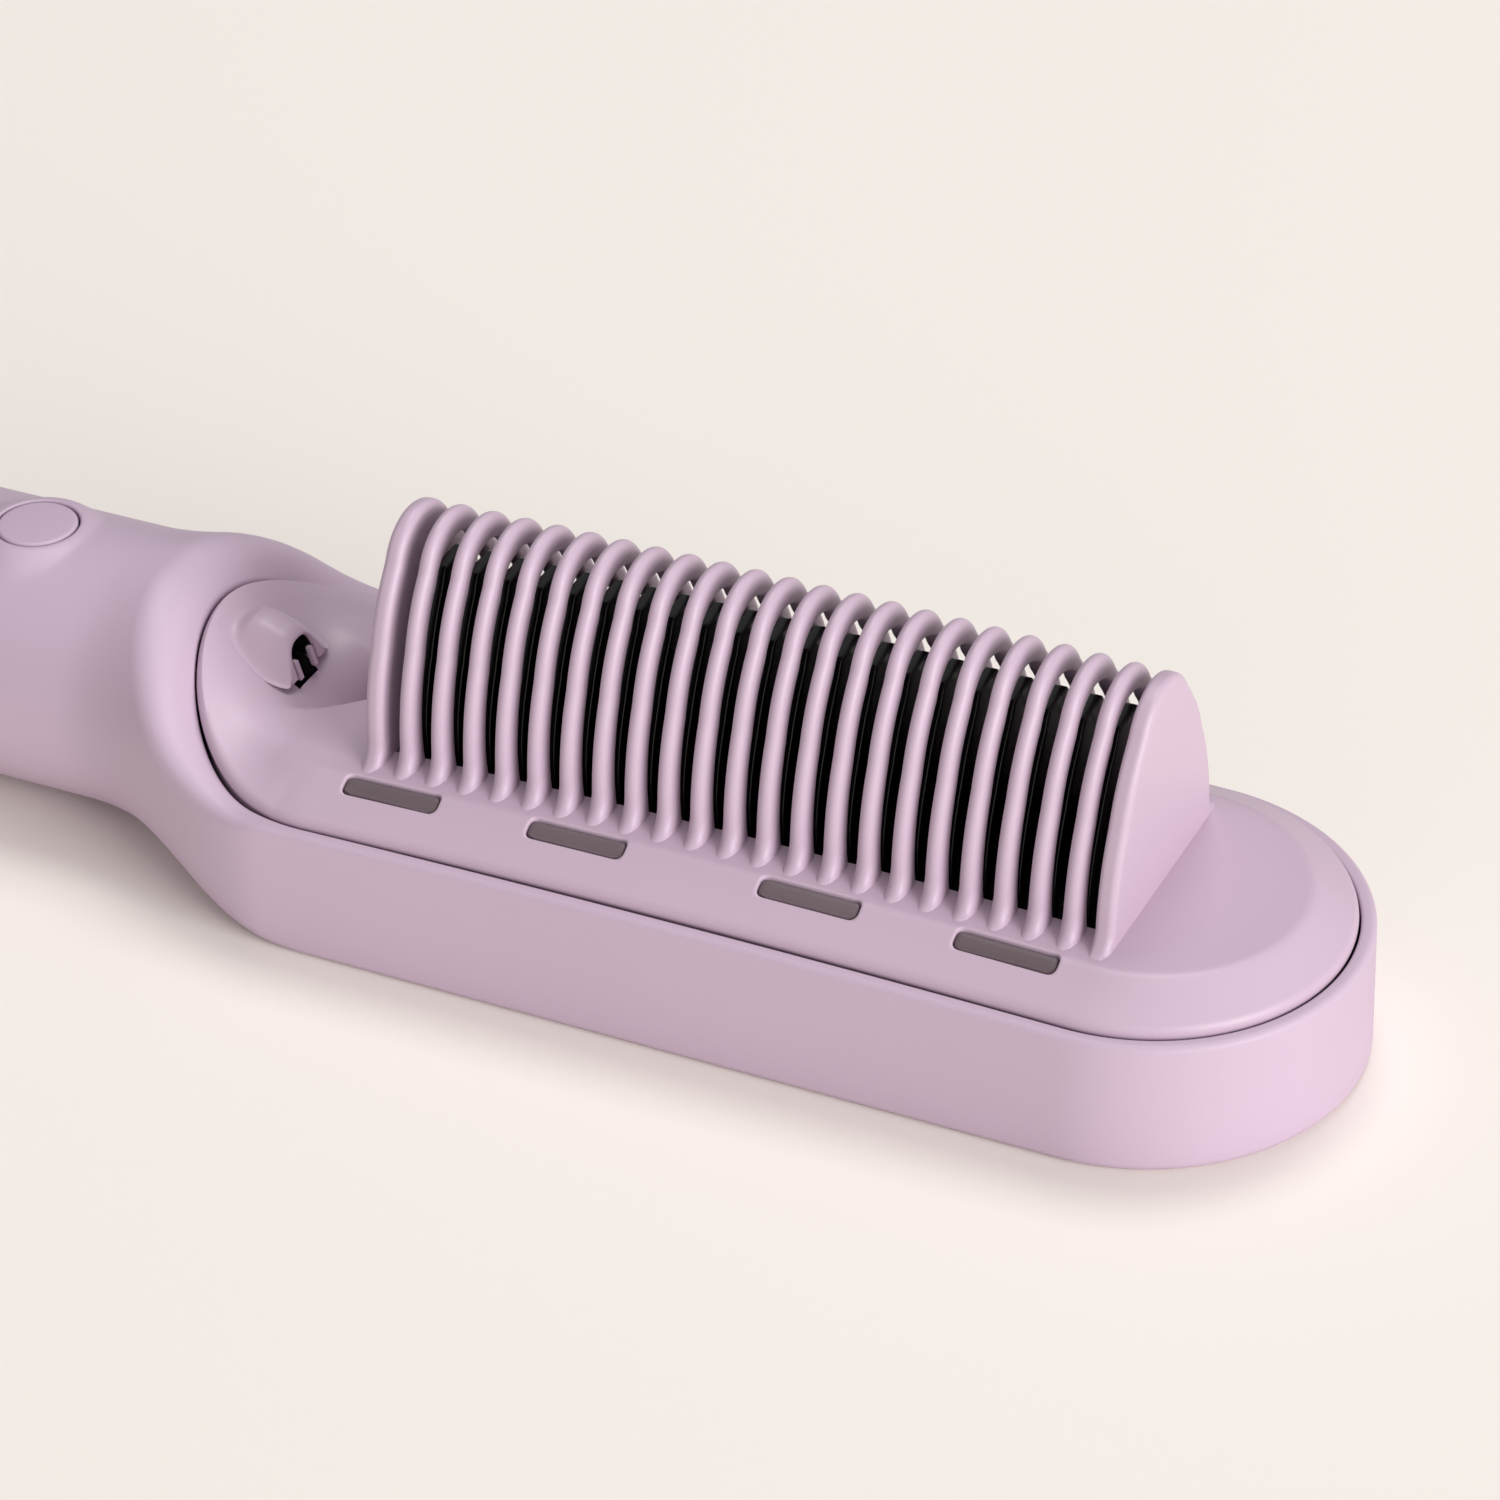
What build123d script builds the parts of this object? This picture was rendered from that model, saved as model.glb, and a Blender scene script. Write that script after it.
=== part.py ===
from build123d import *
import os
from math import cos, degrees, radians, sin, sqrt, tan

os.makedirs("parts", exist_ok=True)

# Hair straightening brush, lying on its flat underside: X runs from the cord end to the
# brush tip, Z is up, millimetres. The origin is under the middle of the overall length.

# Overall form
LENGTH = 283.0            # cord swivel to brush tip
HEAD_RADIUS = 24.2        # half the width of the head, and the radius of its round ends
HEAD_STRAIGHT = 89.4      # between the centres of the head's round ends
HANDLE_HALF = 15.9        # half the width of the handle at the neck
HANDLE_FLAT = 0.9         # what the handle's height lacks to its width
HANDLE_BASE = 2.15        # half the flat under the handle
TAIL_TAPER = 1.5          # loss of half width towards the cord end
TAIL_DROP = 1.7           # loss of height towards the cord end
HEAD_CORNER = 1.2         # lower edge of the head
CROWN_MARGIN = 0.2        # what the round back lacks to a full half circle
NECK_LENGTH = 29.5        # where the width grows from handle to head
NECK_SET = 5.4            # end of the neck, before the centre of the head's round end
CROWN_LOSS = 3.0          # the round back tightens by this towards the head
CORNER_START = 5.0        # lower corners change after the neck's start
CORNER_END = 4.5          # and end after the neck's end
LEAST_CORNER = 0.4        # smallest corner of a hollow section
WALL = 1.8                # housing wall
FLOOR = 2.0               # housing wall under the head

# Split between housing and comb cover
SEAM_HEIGHT = 16.8        # under the middle of the comb
SEAM_RADIUS = 2130.0      # long arch of the split line
SCOOP_SET = 7.1           # where the split starts to climb, before the centre of the round end
SCOOP_LOSS = 9.3          # radius of the climb, less than the head's
SCOOP_ANGLE = 57.0        # final slope of the split, degrees
RIM_WIDTH = 1.7           # housing rim round the cover
RIM_ROUND = 1.4
LEDGE_HEIGHT = 12.6       # shelf that the cover's skirt stands on
LEDGE_WIDTH = 1.5

# Comb cover
COVER_GAP = 0.1
COVER_WALL = 2.0
DECK_HEIGHT = 21.1        # top of the cover under the middle of the comb
DECK_RADIUS = 1500.0      # long arch of the deck
COMB_SET = 42.2           # middle of the comb, before the centre of the tip
PLATEAU_INSET = 5.6       # from the cover's edge to its flat top
BAND_DROP = 3.1           # fall of the sloping band between plateau and edge
BAND_END_DROP = 0.5       # fall of the band at the foot of the handle
EDGE_ROUND = 1.0
RAMP_SET = 6.8            # where the deck starts to climb, before the centre of the round end
RAMP_LOSS = 5.6           # radius of the ramp, less than the head's

# Ion outlet hood on the ramp
HOOD_SET = 12.2           # hood's mouth, inside the head's round end
HOOD_BACK = 1.6           # hood's back, inside the cover's edge
HOOD_TOP = 26.3
HOOD_HALF = 4.3
HOOD_ROUND = 3.0
HOOD_EDGE = 0.8           # round of the mouth's edge
DUCT_FACE = 2.5           # wall between the mouth and the drop of the duct
OUTLET_HALF = 2.25
OUTLET_BOTTOM = 19.2
OUTLET_TOP = 24.9
OUTLET_ROUND = 1.2
DUCT_LENGTH = 7.0         # from the hood's face to the back of the outlet duct
HOLDER_LENGTH = 3.0
EMITTER_LENGTH = 5.6
EMITTER_RADIUS = 0.9

# Ribs of the comb guard
RIB_COUNT = 23            # the first and the last are closed end plates
RIB_PITCH = 3.9
RIB_WIDTH = 2.2
GUARD_HEIGHT = 25.05      # above the deck
GUARD_FOOT = 15.6         # half the width over the rib feet
GUARD_WAIST = 13.4        # half the width above the foot flare
GUARD_WALL = 2.6          # thickness of an arch at its sides
GUARD_CROWN = 3.1         # thickness of an arch at its top
FLARE_HEIGHT = 2.7

# Slots with tabs
SLOT_LENGTH = 11.7
SLOT_WIDTH = 2.7
SLOT_SET = 6.8            # slots' middle line, inside the head's side
SLOT_NEAR = 13.7          # along the head, from its middle
SLOT_FAR = 36.2
TAB_GAP = 0.25
TAB_SET = 0.4             # tabs below the cover's surface

# Heated comb and its carrier
FIN_WIDTH = 1.5
FIN_GAP = 1.1             # between a fin and the sides of the arch over it
FIN_TOP_GAP = 1.7
COMB_BASE_TOP = 17.6
COMB_PLAY = 0.3           # comb's base in the cover's window
COMB_LIP = 2.0            # rim of the comb's base under the frame
COMB_LIP_THICK = 1.4
FRAME_SET = 5.0           # frame's side, inside the head's side
FRAME_END = 5.5           # frame beyond the comb's ends
FRAME_CORNER = 6.0
FRAME_GAP = 0.4           # cover's hollow beyond the frame
FRAME_TOP = 16.4
FRAME_THICK = 2.0
FRAME_SCREW_SET = 2.4     # from the frame's ends
FRAME_SCREW_Y = 8.0
SCREW_RADIUS = 1.1
SCREW_HEAD_RADIUS = 2.1
SCREW_HEAD_THICK = 1.2
FRAME_SCREW_LENGTH = 5.0
HEATER_COUNT = 3
HEATER_LENGTH = 24.0
HEATER_HALF = 6.0
HEATER_THICK = 2.4
HEATER_PITCH = 27.0
FILM_THICK = 0.3
PLATE_THICK = 0.8
FILM_MARGIN = 1.0         # film beyond the heaters' sides
PLATE_HALF = 8.0
PLATE_END = 1.5           # plate beyond the comb's ends
PLATE_SCREW_SET = 2.5     # from the plate's ends
PLATE_SCREW_GRIP = 2.6    # screw inside the comb
PLATE_SCREW_HOLE = 3.0
PART_GAP = 0.3            # sensor and fuse beside the plate
SENSOR_X = 10.0           # from the middle of the comb
FUSE_X = -16.0
SENSOR_RADIUS = 1.2
SENSOR_LENGTH = 5.0
FUSE_RADIUS = 2.0
FUSE_LENGTH = 11.0
FIT = 0.1                 # play of a piece in its seat
RUN = 0.06                # play of a sliding or turning piece

# Push buttons on the round back
BUTTON_RADIUS = 4.6
BUTTON_PROUD = 0.9
BUTTON_TRAVEL = 0.6
BUTTON_FLANGE = 1.0       # flange under the guide, beyond the cap
BUTTON_FLANGE_THICK = 1.0
GUIDE_WALL = 1.8
GUIDE_DEPTH = 4.3         # bottom of a guide under the handle's top
GUIDE_SINK = 0.15         # top of a guide below the round back beside it
BUTTON_EDGE = 0.5
FLANGE_GAP = 0.05         # flange under its guide
ION_BUTTON_SET = 10.9     # behind the neck's start
POWER_SHARE = 0.30        # places along the handle, from the neck's start to the cord end
PLUS_SHARE = 0.435
MINUS_SHARE = 0.565
STEM_RADIUS = 1.6

# Circuit board and what it carries
BOARD_DEPTH = 12.3        # board's top under the handle's top
BOARD_THICK = 1.6
BOARD_SIDE = 4.3          # board's edge inside the handle's side
TRAY_SHARE = 0.866        # tray's far end along the handle
TRAY_END_SET = 1.0        # tray's near end, behind the neck's start
BOARD_SET = 0.5           # board short of the tray at each end
TRAY_SIDE = 5.4           # tray's edge inside the handle's side
TRAY_THICK = 2.0
TRAY_GAP = 2.5            # between tray and board
BULKHEAD = 3.0
WIRE_HALF = 6.5           # wire window in the bulkheads
WIRE_LOW = 4.0
WIRE_TOP = 11.0
BOARD_SCREW_SET = 4.5     # from the tray's ends
BOARD_SCREW_EDGE = 2.5    # from the tray's edge
BOARD_SCREW_LENGTH = 3.6
PILLAR_RADIUS = 2.3
SWITCH_SIZE = 6.0
SWITCH_HEIGHT = 4.4
PLUNGER_DEPTH = 2.2       # of the plunger inside its switch
SWITCH_WELL = 0.2         # free depth under a pressed plunger
PLUNGER_OUT = 1.2
PLUNGER_RADIUS = 1.5
LED_SHARE = 0.655         # first light along the handle
LED_STEP = 0.032          # from light to light
LED_COUNT = 4
LED_SIZE = 2.0
LED_THICK = 1.0
GUIDE_PIN_RADIUS = 1.2
GUIDE_PIN_SINK = 0.1      # pins below the skin
GUIDE_BAR_DEPTH = 6.3     # under the handle's top
GUIDE_BAR_HALF = 2.0
GUIDE_BAR_THICK = 1.2
GENERATOR = (0.413, 0.154, 0.16)             # start and end along the handle, bottom as a share of its height
CONTROLLER = (0.235, 0.162, -4.5, 4.5, 1.2)  # start, end along the handle, sides, height on the board
CAPACITOR = (0.753, 0.64, 3.2, 9.2, 6.0)
TRIAC = (0.737, 0.656, -9.0, -4.0, 5.0)
TERMINAL = (0.854, 0.785, -5.0, 5.0, 6.0)

# Screws that hold the cover, from the underside
TIP_SCREW_SET = 11.5      # inside the head's round end
ROOT_SCREW_X = 7.9        # before the centre of the head's other round end
ROOT_SCREW_SET = 11.6     # inside the head's side
PILLAR_TOP = 8.0
PILLAR_HALF = 3.6         # radius of the housing's pillars
COVER_POST = 2.9          # radius of the cover's posts
RECESS_RADIUS = 2.5
RECESS_DEPTH = 5.0
COVER_SCREW_LENGTH = 8.0
POST_OVERLAP = 1.0        # post let into the cover
SHIELD_THICK = 0.6

# Cord end
CAP_THICK = 4.0
CAP_ROUND = 2.2
CAP_SPIGOT = 5.0
SWIVEL_OUT = 7.0          # swivel beyond the cap
SWIVEL_RADIUS = 6.2
SWIVEL_NECK = 4.9
SWIVEL_EDGE = 1.0
SWIVEL_BORE = 3.1         # for a 6 mm cord
SWIVEL_END = 2.6          # swivel neck beyond the cap's inner face
GROOVE_RADIUS = 4.2
CLIP_THICK = 1.2
CLIP_RADIUS = 6.6
CAP_SCREW_EDGE = 4.2      # inside the handle's side
CAP_SCREW_SINK = 0.4      # head below the cap's face
CAP_SCREW_LENGTH = 9.0
CAP_BOSS_RADIUS = 2.7
CAP_BOSS_LENGTH = 9.0

# Sizes and places that follow
HANDLE_TOP = 2 * HANDLE_HALF - HANDLE_FLAT
HANDLE_CORNER = HANDLE_HALF - HANDLE_BASE
TAIL_HALF = HANDLE_HALF - TAIL_TAPER
TAIL_TOP = HANDLE_TOP - TAIL_DROP
SCOOP_RADIUS = HEAD_RADIUS - SCOOP_LOSS
RAMP_RADIUS = HEAD_RADIUS - RAMP_LOSS
HOOD_FRONT = HEAD_RADIUS - HOOD_SET
SLOT_SIDE = HEAD_RADIUS - SLOT_SET
FRAME_HALF = HEAD_RADIUS - FRAME_SET
GUIDE_BOTTOM = HANDLE_TOP - GUIDE_DEPTH
BOARD_TOP = HANDLE_TOP - BOARD_DEPTH
BOARD_HALF = HANDLE_HALF - BOARD_SIDE
TRAY_HALF = HANDLE_HALF - TRAY_SIDE
BOARD_SCREW_SIDE = TRAY_HALF - BOARD_SCREW_EDGE
GUIDE_BAR_LOW = HANDLE_TOP - GUIDE_BAR_DEPTH
CAP_SCREW_SIDE = TAIL_HALF - CAP_SCREW_EDGE
TIP_X = LENGTH / 2 - HEAD_RADIUS            # centre of the tip's round end
ROOT_X = TIP_X - HEAD_STRAIGHT              # centre of the head's other round end
HEAD_X = (ROOT_X + TIP_X) / 2               # middle of the head
COMB_X = TIP_X - COMB_SET
NECK_END = ROOT_X - NECK_SET
NECK_START = NECK_END - NECK_LENGTH
TAIL_X = SWIVEL_OUT + CAP_THICK - LENGTH / 2   # end of the housing tube
SWIVEL_Z = TAIL_TOP / 2
COVER_RADIUS = HEAD_RADIUS - RIM_WIDTH - COVER_GAP
WINDOW_HALF = GUARD_WAIST - GUARD_WALL
COMB_REACH = RIB_PITCH * (RIB_COUNT - 1) / 2 - RIB_WIDTH / 2 - COMB_PLAY
COMB_HALF = WINDOW_HALF - COMB_PLAY
FRAME_REACH = COMB_REACH + FRAME_END
FRAME_SCREW_X = FRAME_REACH - FRAME_SCREW_SET
PLATE_REACH = COMB_REACH + PLATE_END
PLATE_SCREW_X = PLATE_REACH - PLATE_SCREW_SET
COMB_BOTTOM = FRAME_TOP - FRAME_THICK - COMB_LIP_THICK
TRAY_TOP = BOARD_TOP - BOARD_THICK - TRAY_GAP
RIB_FIRST = COMB_X - RIB_PITCH * (RIB_COUNT - 1) / 2
HANDLE_LENGTH = NECK_START - TAIL_X
TRAY_START = NECK_START - TRAY_SHARE * HANDLE_LENGTH
TRAY_END = NECK_START - TRAY_END_SET
COVER_SCREWS = [
    (TIP_X + HEAD_RADIUS - TIP_SCREW_SET, 0),
    (ROOT_X - ROOT_SCREW_X, HEAD_RADIUS - ROOT_SCREW_SET),
    (ROOT_X - ROOT_SCREW_X, ROOT_SCREW_SET - HEAD_RADIUS),
]
HIGH = 60.0                                  # clear above the whole brush
LONG = 400.0                                 # longer than the whole brush


def smooth(start, end, x):
    """S-shaped step from 0 to 1."""
    t = min(1.0, max(0.0, (x - start) / (end - start)))
    return t * t * (3 - 2 * t)


def section(x, inset):
    """Handle or neck section at x, drawn inside the skin by the inset."""
    grow = smooth(NECK_START, NECK_END, x)
    shrink = max(0.0, (NECK_START - x) / (NECK_START - TAIL_X)) ** 2
    half = HANDLE_HALF + (HEAD_RADIUS - HANDLE_HALF) * grow - TAIL_TAPER * shrink
    top = HANDLE_TOP - TAIL_DROP * shrink - inset
    crown = HANDLE_HALF - CROWN_MARGIN - TAIL_TAPER * shrink - CROWN_LOSS * grow - inset
    turn = smooth(NECK_START + CORNER_START, NECK_END + CORNER_END, x)
    foot = HANDLE_CORNER + (HEAD_CORNER - HANDLE_CORNER) * turn - TAIL_TAPER * shrink
    foot = max(foot - inset, LEAST_CORNER)
    return rounded_section(x, half - inset, inset, top, foot, crown)


def rounded_section(x, half, low, top, foot, crown):
    """Upright section at x with small lower and large upper corners."""
    corners = [
        (half - foot, low + foot, foot, -90),
        (half - crown, top - crown, crown, 0),
        (crown - half, top - crown, crown, 90),
        (foot - half, low + foot, foot, 180),
    ]
    arcs = []
    for y, z, radius, start in corners:
        turns = [radians(start + step) for step in (0, 45, 90)]
        arcs.append([Vector(x, y + radius * cos(t), z + radius * sin(t)) for t in turns])
    edges = []
    for here, after in zip(arcs, arcs[1:] + arcs[:1]):
        edges.append(Edge.make_three_point_arc(*here))
        edges.append(Edge.make_line(here[2], after[0]))
    return Face(Wire(edges))


def stadium(radius, low, high):
    """Upright prism with the head's plan, at another radius."""
    middle = Pos(HEAD_X, 0, low) * extrude(Rectangle(HEAD_STRAIGHT, 2 * radius), high - low)
    root = Pos(ROOT_X, 0, low) * extrude(Circle(radius), high - low)
    tip = Pos(TIP_X, 0, low) * extrude(Circle(radius), high - low)
    return middle + root + tip


def tube(tail, inset):
    """Handle and neck as one solid, drawn inside the skin by the inset."""
    handle = [tail + (NECK_START - tail) * i / 4 for i in range(5)]
    neck = [NECK_START + (ROOT_X - NECK_START) * i / 12 for i in range(13)]
    return loft([section(x, inset) for x in handle]) + loft([section(x, inset) for x in neck])


def seam_point(x):
    """Height of the long arch of the split line."""
    return SEAM_HEIGHT - (x - COMB_X) ** 2 / (2 * SEAM_RADIUS)


def scoop():
    """All that lies above the split, from the side."""
    start = ROOT_X - SCOOP_SET
    far = TIP_X + HEAD_RADIUS + 10
    low = seam_point(start)
    angle = radians(SCOOP_ANGLE)
    bend = (start - SCOOP_RADIUS * sin(angle), low + SCOOP_RADIUS * (1 - cos(angle)))
    half = angle / 2
    mid = (start - SCOOP_RADIUS * sin(half), low + SCOOP_RADIUS * (1 - cos(half)))
    rise = HIGH - bend[1]
    top = (bend[0] - rise / tan(angle), HIGH)
    outline = [
        Edge.make_three_point_arc((far, 0, seam_point(far)), (COMB_X, 0, SEAM_HEIGHT), (start, 0, low)),
        Edge.make_three_point_arc((start, 0, low), (mid[0], 0, mid[1]), (bend[0], 0, bend[1])),
        Edge.make_line((bend[0], 0, bend[1]), (top[0], 0, top[1])),
        Edge.make_line((top[0], 0, top[1]), (far, 0, HIGH)),
        Edge.make_line((far, 0, HIGH), (far, 0, seam_point(far))),
    ]
    return extrude(Face(Wire(outline)), HEAD_RADIUS + 10, (0, 1, 0), both=True)


def box(x0, x1, y0, y1, z0, z1):
    """Block between three pairs of limits."""
    return Pos((x0 + x1) / 2, (y0 + y1) / 2, (z0 + z1) / 2) * Box(x1 - x0, y1 - y0, z1 - z0)


def post(x, y, z0, z1, radius):
    """Upright round post."""
    return Pos(x, y, (z0 + z1) / 2) * Cylinder(radius, z1 - z0)


def rod(x0, x1, y, z, radius):
    """Round rod along X."""
    return Pos((x0 + x1) / 2, y, z) * Rot(0, 90, 0) * Cylinder(radius, x1 - x0)


def back_height(x):
    """Top of the handle at x."""
    shrink = max(0.0, (NECK_START - x) / (NECK_START - TAIL_X)) ** 2
    return HANDLE_TOP - TAIL_DROP * shrink


def skin_height(x, y):
    """Height of the round back beside its middle line."""
    crown = HANDLE_HALF - CROWN_MARGIN - (HANDLE_TOP - back_height(x)) / 2
    return back_height(x) - crown + sqrt(crown ** 2 - y ** 2)


def along(share):
    """Place along the handle: 0 at the neck's start, 1 at the cord end."""
    return NECK_START - share * HANDLE_LENGTH


BUTTONS = {
    "ion": NECK_START - ION_BUTTON_SET,
    "power": along(POWER_SHARE),
    "plus": along(PLUS_SHARE),
    "minus": along(MINUS_SHARE),
}


def split_edges(solid):
    """Outer edges of the split, all round the cover's seat."""
    found = []
    for edge in solid.edges():
        size = edge.bounding_box()
        across = size.max.X - size.min.X < 0.01 and size.max.Z - size.min.Z < 0.01
        crown = size.max.X < ROOT_X - HEAD_RADIUS and size.max.X - size.min.X > 1
        low = size.min.Z < LEDGE_HEIGHT + 1
        front = size.min.X > ROOT_X - HEAD_RADIUS - 2
        if front and not (across or crown or low):
            found.append(edge)
    return found


def housing_blank():
    """Outside of the handle, neck and head, cut along the split."""
    head = stadium(HEAD_RADIUS, 0, DECK_HEIGHT)
    lower = [e for e in head.edges() if e.bounding_box().max.Z < 0.01 and e.bounding_box().max.X > ROOT_X + 1]
    head = fillet(lower, HEAD_CORNER)
    head -= box(-LONG, ROOT_X, -LONG, LONG, -1, HIGH)
    blank = tube(TAIL_X, 0) + head - scoop()
    return fillet(split_edges(blank), RIM_ROUND)


def main_housing():
    """Handle, neck and lower head in one shell, open at the cord end and under the cover."""
    body = housing_blank()
    hollow = tube(TAIL_X - 1, WALL)
    body -= hollow - stadium(HEAD_RADIUS + RIM_WIDTH, 0, HIGH)
    body -= hollow & box(NECK_START, ROOT_X, -HEAD_RADIUS, HEAD_RADIUS, 0, LEDGE_HEIGHT - WALL)
    seat = COVER_RADIUS + COVER_GAP
    body -= stadium(seat - LEDGE_WIDTH, FLOOR, HIGH)
    body -= stadium(seat, LEDGE_HEIGHT, HIGH)
    for x in BUTTONS.values():
        guide = BUTTON_RADIUS + RUN + GUIDE_WALL
        body += post(x, 0, GUIDE_BOTTOM, skin_height(x, guide) - GUIDE_SINK, guide)
        body -= post(x, 0, GUIDE_BOTTOM - 1, HIGH, BUTTON_RADIUS + RUN)
    for x, y in COVER_SCREWS:
        body += post(x, y, FLOOR / 2, PILLAR_TOP, PILLAR_HALF)
        body -= post(x, y, -1, PILLAR_TOP + 1, SCREW_RADIUS + RUN)
        body -= post(x, y, -1, RECESS_DEPTH, RECESS_RADIUS)
    for y in (-CAP_SCREW_SIDE, CAP_SCREW_SIDE):
        body += rod(TAIL_X, TAIL_X + CAP_BOSS_LENGTH, y, SWIVEL_Z, CAP_BOSS_RADIUS)
        body -= rod(TAIL_X - 1, TAIL_X + CAP_BOSS_LENGTH - 1, y, SWIVEL_Z, SCREW_RADIUS + RUN)
    for x in led_places():
        body -= post(x, 0, HIGH / 3, HIGH, GUIDE_PIN_RADIUS + FIT)
    return body


def deck_point(x):
    """Height of the cover's top on the middle line: a long arch that climbs towards the handle."""
    foot = ROOT_X - RAMP_SET
    arch = DECK_HEIGHT - (max(x, foot) - COMB_X) ** 2 / (2 * DECK_RADIUS)
    if x >= foot:
        return arch
    return arch + RAMP_RADIUS - sqrt(RAMP_RADIUS ** 2 - (foot - x) ** 2)


def deck_profile(depth):
    """Everything below the cover's top, from the side, lowered by the depth."""
    foot = ROOT_X - RAMP_SET
    back = ROOT_X - COVER_RADIUS - 1
    far = TIP_X + HEAD_RADIUS
    half_way = (foot + back) / 2
    points = [(x, 0, deck_point(x) - depth) for x in (far, COMB_X, foot, half_way, back)]
    edges = [
        Edge.make_three_point_arc(points[0], points[1], points[2]),
        Edge.make_three_point_arc(points[2], points[3], points[4]),
        Edge.make_line(points[4], (back, 0, 0)),
        Edge.make_line((back, 0, 0), (far, 0, 0)),
        Edge.make_line((far, 0, 0), points[0]),
    ]
    return extrude(Face(Wire(edges)), HEAD_RADIUS, (0, 1, 0), both=True)


def band_section(centre, angle):
    """Upright section through the sloping band, seen from a centre in the given direction."""
    way = (cos(radians(angle)), sin(radians(angle)))
    outer = COVER_RADIUS + 1.5
    inner = COVER_RADIUS - PLATEAU_INSET - 1.5
    rim_x = centre + COVER_RADIUS * way[0]
    end = ROOT_X - COVER_RADIUS
    share = min(1.0, max(0.0, (rim_x - end) / (ROOT_X - 4 - end)))
    drop = BAND_END_DROP + (BAND_DROP - BAND_END_DROP) * share
    high = deck_point(centre + inner * way[0]) + 1.5 * drop / PLATEAU_INSET
    rim = deck_point(rim_x) - drop
    beyond = rim + (rim - high) * (outer - COVER_RADIUS) / (COVER_RADIUS - inner)
    outline = [(inner - 2, 0), (outer, 0), (outer, beyond), (inner, high), (inner - 2, high + 6)]
    points = [Vector(centre + r * way[0], r * way[1], z) for r, z in outline]
    return Face(Wire.make_polygon(points, close=True))


def band():
    """Ring whose top slopes from the plateau to the rim, all round the cover."""
    straight = [ROOT_X + HEAD_STRAIGHT * i / 4 for i in range(5)]
    ring = loft([band_section(TIP_X, -90 + 180 * i / 8) for i in range(9)])
    ring += loft([band_section(ROOT_X, 90 + 180 * i / 14) for i in range(15)])
    ring += loft([band_section(x, 90) for x in straight])
    ring += loft([band_section(x, 270) for x in straight])
    return ring + stadium(COVER_RADIUS - PLATEAU_INSET - 3, 0, HIGH)


def cover_blank():
    """Outside of the comb cover without its ribs."""
    blank = stadium(COVER_RADIUS, LEDGE_HEIGHT, HIGH) & deck_profile(0)
    return blank & band()


def bell(half, height):
    """Round-shouldered outline over the comb, from its right foot over the top to its left."""
    shares = [(0.933, 0.32), (0.79, 0.527), (0.642, 0.703), (0.448, 0.846)]
    side = [(half, FLARE_HEIGHT)] + [(half * a, height * b) for a, b in shares]
    right = [Vector(0, y, z) for y, z in side]
    left = [Vector(0, -y, z) for y, z in side]
    return [
        Edge.make_three_point_arc(*right[0:3]),
        Edge.make_three_point_arc(*right[2:5]),
        Edge.make_three_point_arc(right[4], (0, 0, height), left[4]),
        Edge.make_three_point_arc(left[4], left[3], left[2]),
        Edge.make_three_point_arc(left[2], left[1], left[0]),
    ]


def bell_face(half, height, low):
    """Area under a bell, down to a level."""
    sides = [(-half, FLARE_HEIGHT), (-half, low), (half, low), (half, FLARE_HEIGHT)]
    points = [Vector(0, y, z) for y, z in sides]
    lines = [Edge.make_line(a, b) for a, b in zip(points, points[1:])]
    return Face(Wire(bell(half, height) + lines))


def guard_face():
    """Outline of a guard plate with its flared feet, down into the deck."""
    low = -FRAME_THICK / 2
    flare = [(GUARD_FOOT, 0), (GUARD_WAIST + 0.7, FLARE_HEIGHT / 3), (GUARD_WAIST, FLARE_HEIGHT)]
    right = [Vector(0, y, z) for y, z in flare]
    left = [Vector(0, -y, z) for y, z in flare]
    edges = bell(GUARD_WAIST, GUARD_HEIGHT)
    edges.append(Edge.make_three_point_arc(left[2], left[1], left[0]))
    edges.append(Edge.make_line(left[0], (0, -GUARD_FOOT, low)))
    edges.append(Edge.make_line((0, -GUARD_FOOT, low), (0, GUARD_FOOT, low)))
    edges.append(Edge.make_line((0, GUARD_FOOT, low), right[0]))
    edges.append(Edge.make_three_point_arc(*right))
    return Face(Wire(edges))


def rib_place(number):
    """Where a rib stands: on the deck's arch, square to it."""
    x = RIB_FIRST + number * RIB_PITCH
    lean = degrees((x - COMB_X) / SEAM_RADIUS)
    return Pos(x, 0, deck_point(x)) * Rot(0, lean, 0)


def guard():
    """All arches with the closed plate at each end."""
    plate = extrude(guard_face(), RIB_WIDTH / 2, (1, 0, 0), both=True)
    opening = bell_face(WINDOW_HALF, GUARD_HEIGHT - GUARD_CROWN, -FRAME_THICK)
    arch = plate - extrude(opening, RIB_WIDTH, (1, 0, 0), both=True)
    last = RIB_COUNT - 1
    return [rib_place(i) * (plate if i in (0, last) else arch) for i in range(RIB_COUNT)]


def slot_places():
    """Middles of the eight slots."""
    along = (-SLOT_FAR, -SLOT_NEAR, SLOT_NEAR, SLOT_FAR)
    return [(HEAD_X + x, y) for x in along for y in (-SLOT_SIDE, SLOT_SIDE)]


def slot(x, y, low, high, play):
    """Upright round-ended block of a slot, made smaller by the play."""
    return Pos(x, y, low) * extrude(SlotOverall(SLOT_LENGTH - 2 * play, SLOT_WIDTH - 2 * play), high - low)


def hood():
    """Rounded hood round the ion outlet, let into the ramp."""
    front = ROOT_X - HOOD_FRONT
    back = ROOT_X - COVER_RADIUS + HOOD_BACK
    block = box(back, front, -HOOD_HALF, HOOD_HALF, FRAME_TOP, HOOD_TOP)
    upper = block.edges().filter_by(Axis.X).group_by(Axis.Z)[-1]
    block = fillet(upper, HOOD_ROUND)
    return fillet(block.faces().sort_by(Axis.X)[-1].edges().sort_by(Axis.Z)[1:], HOOD_EDGE)


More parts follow.
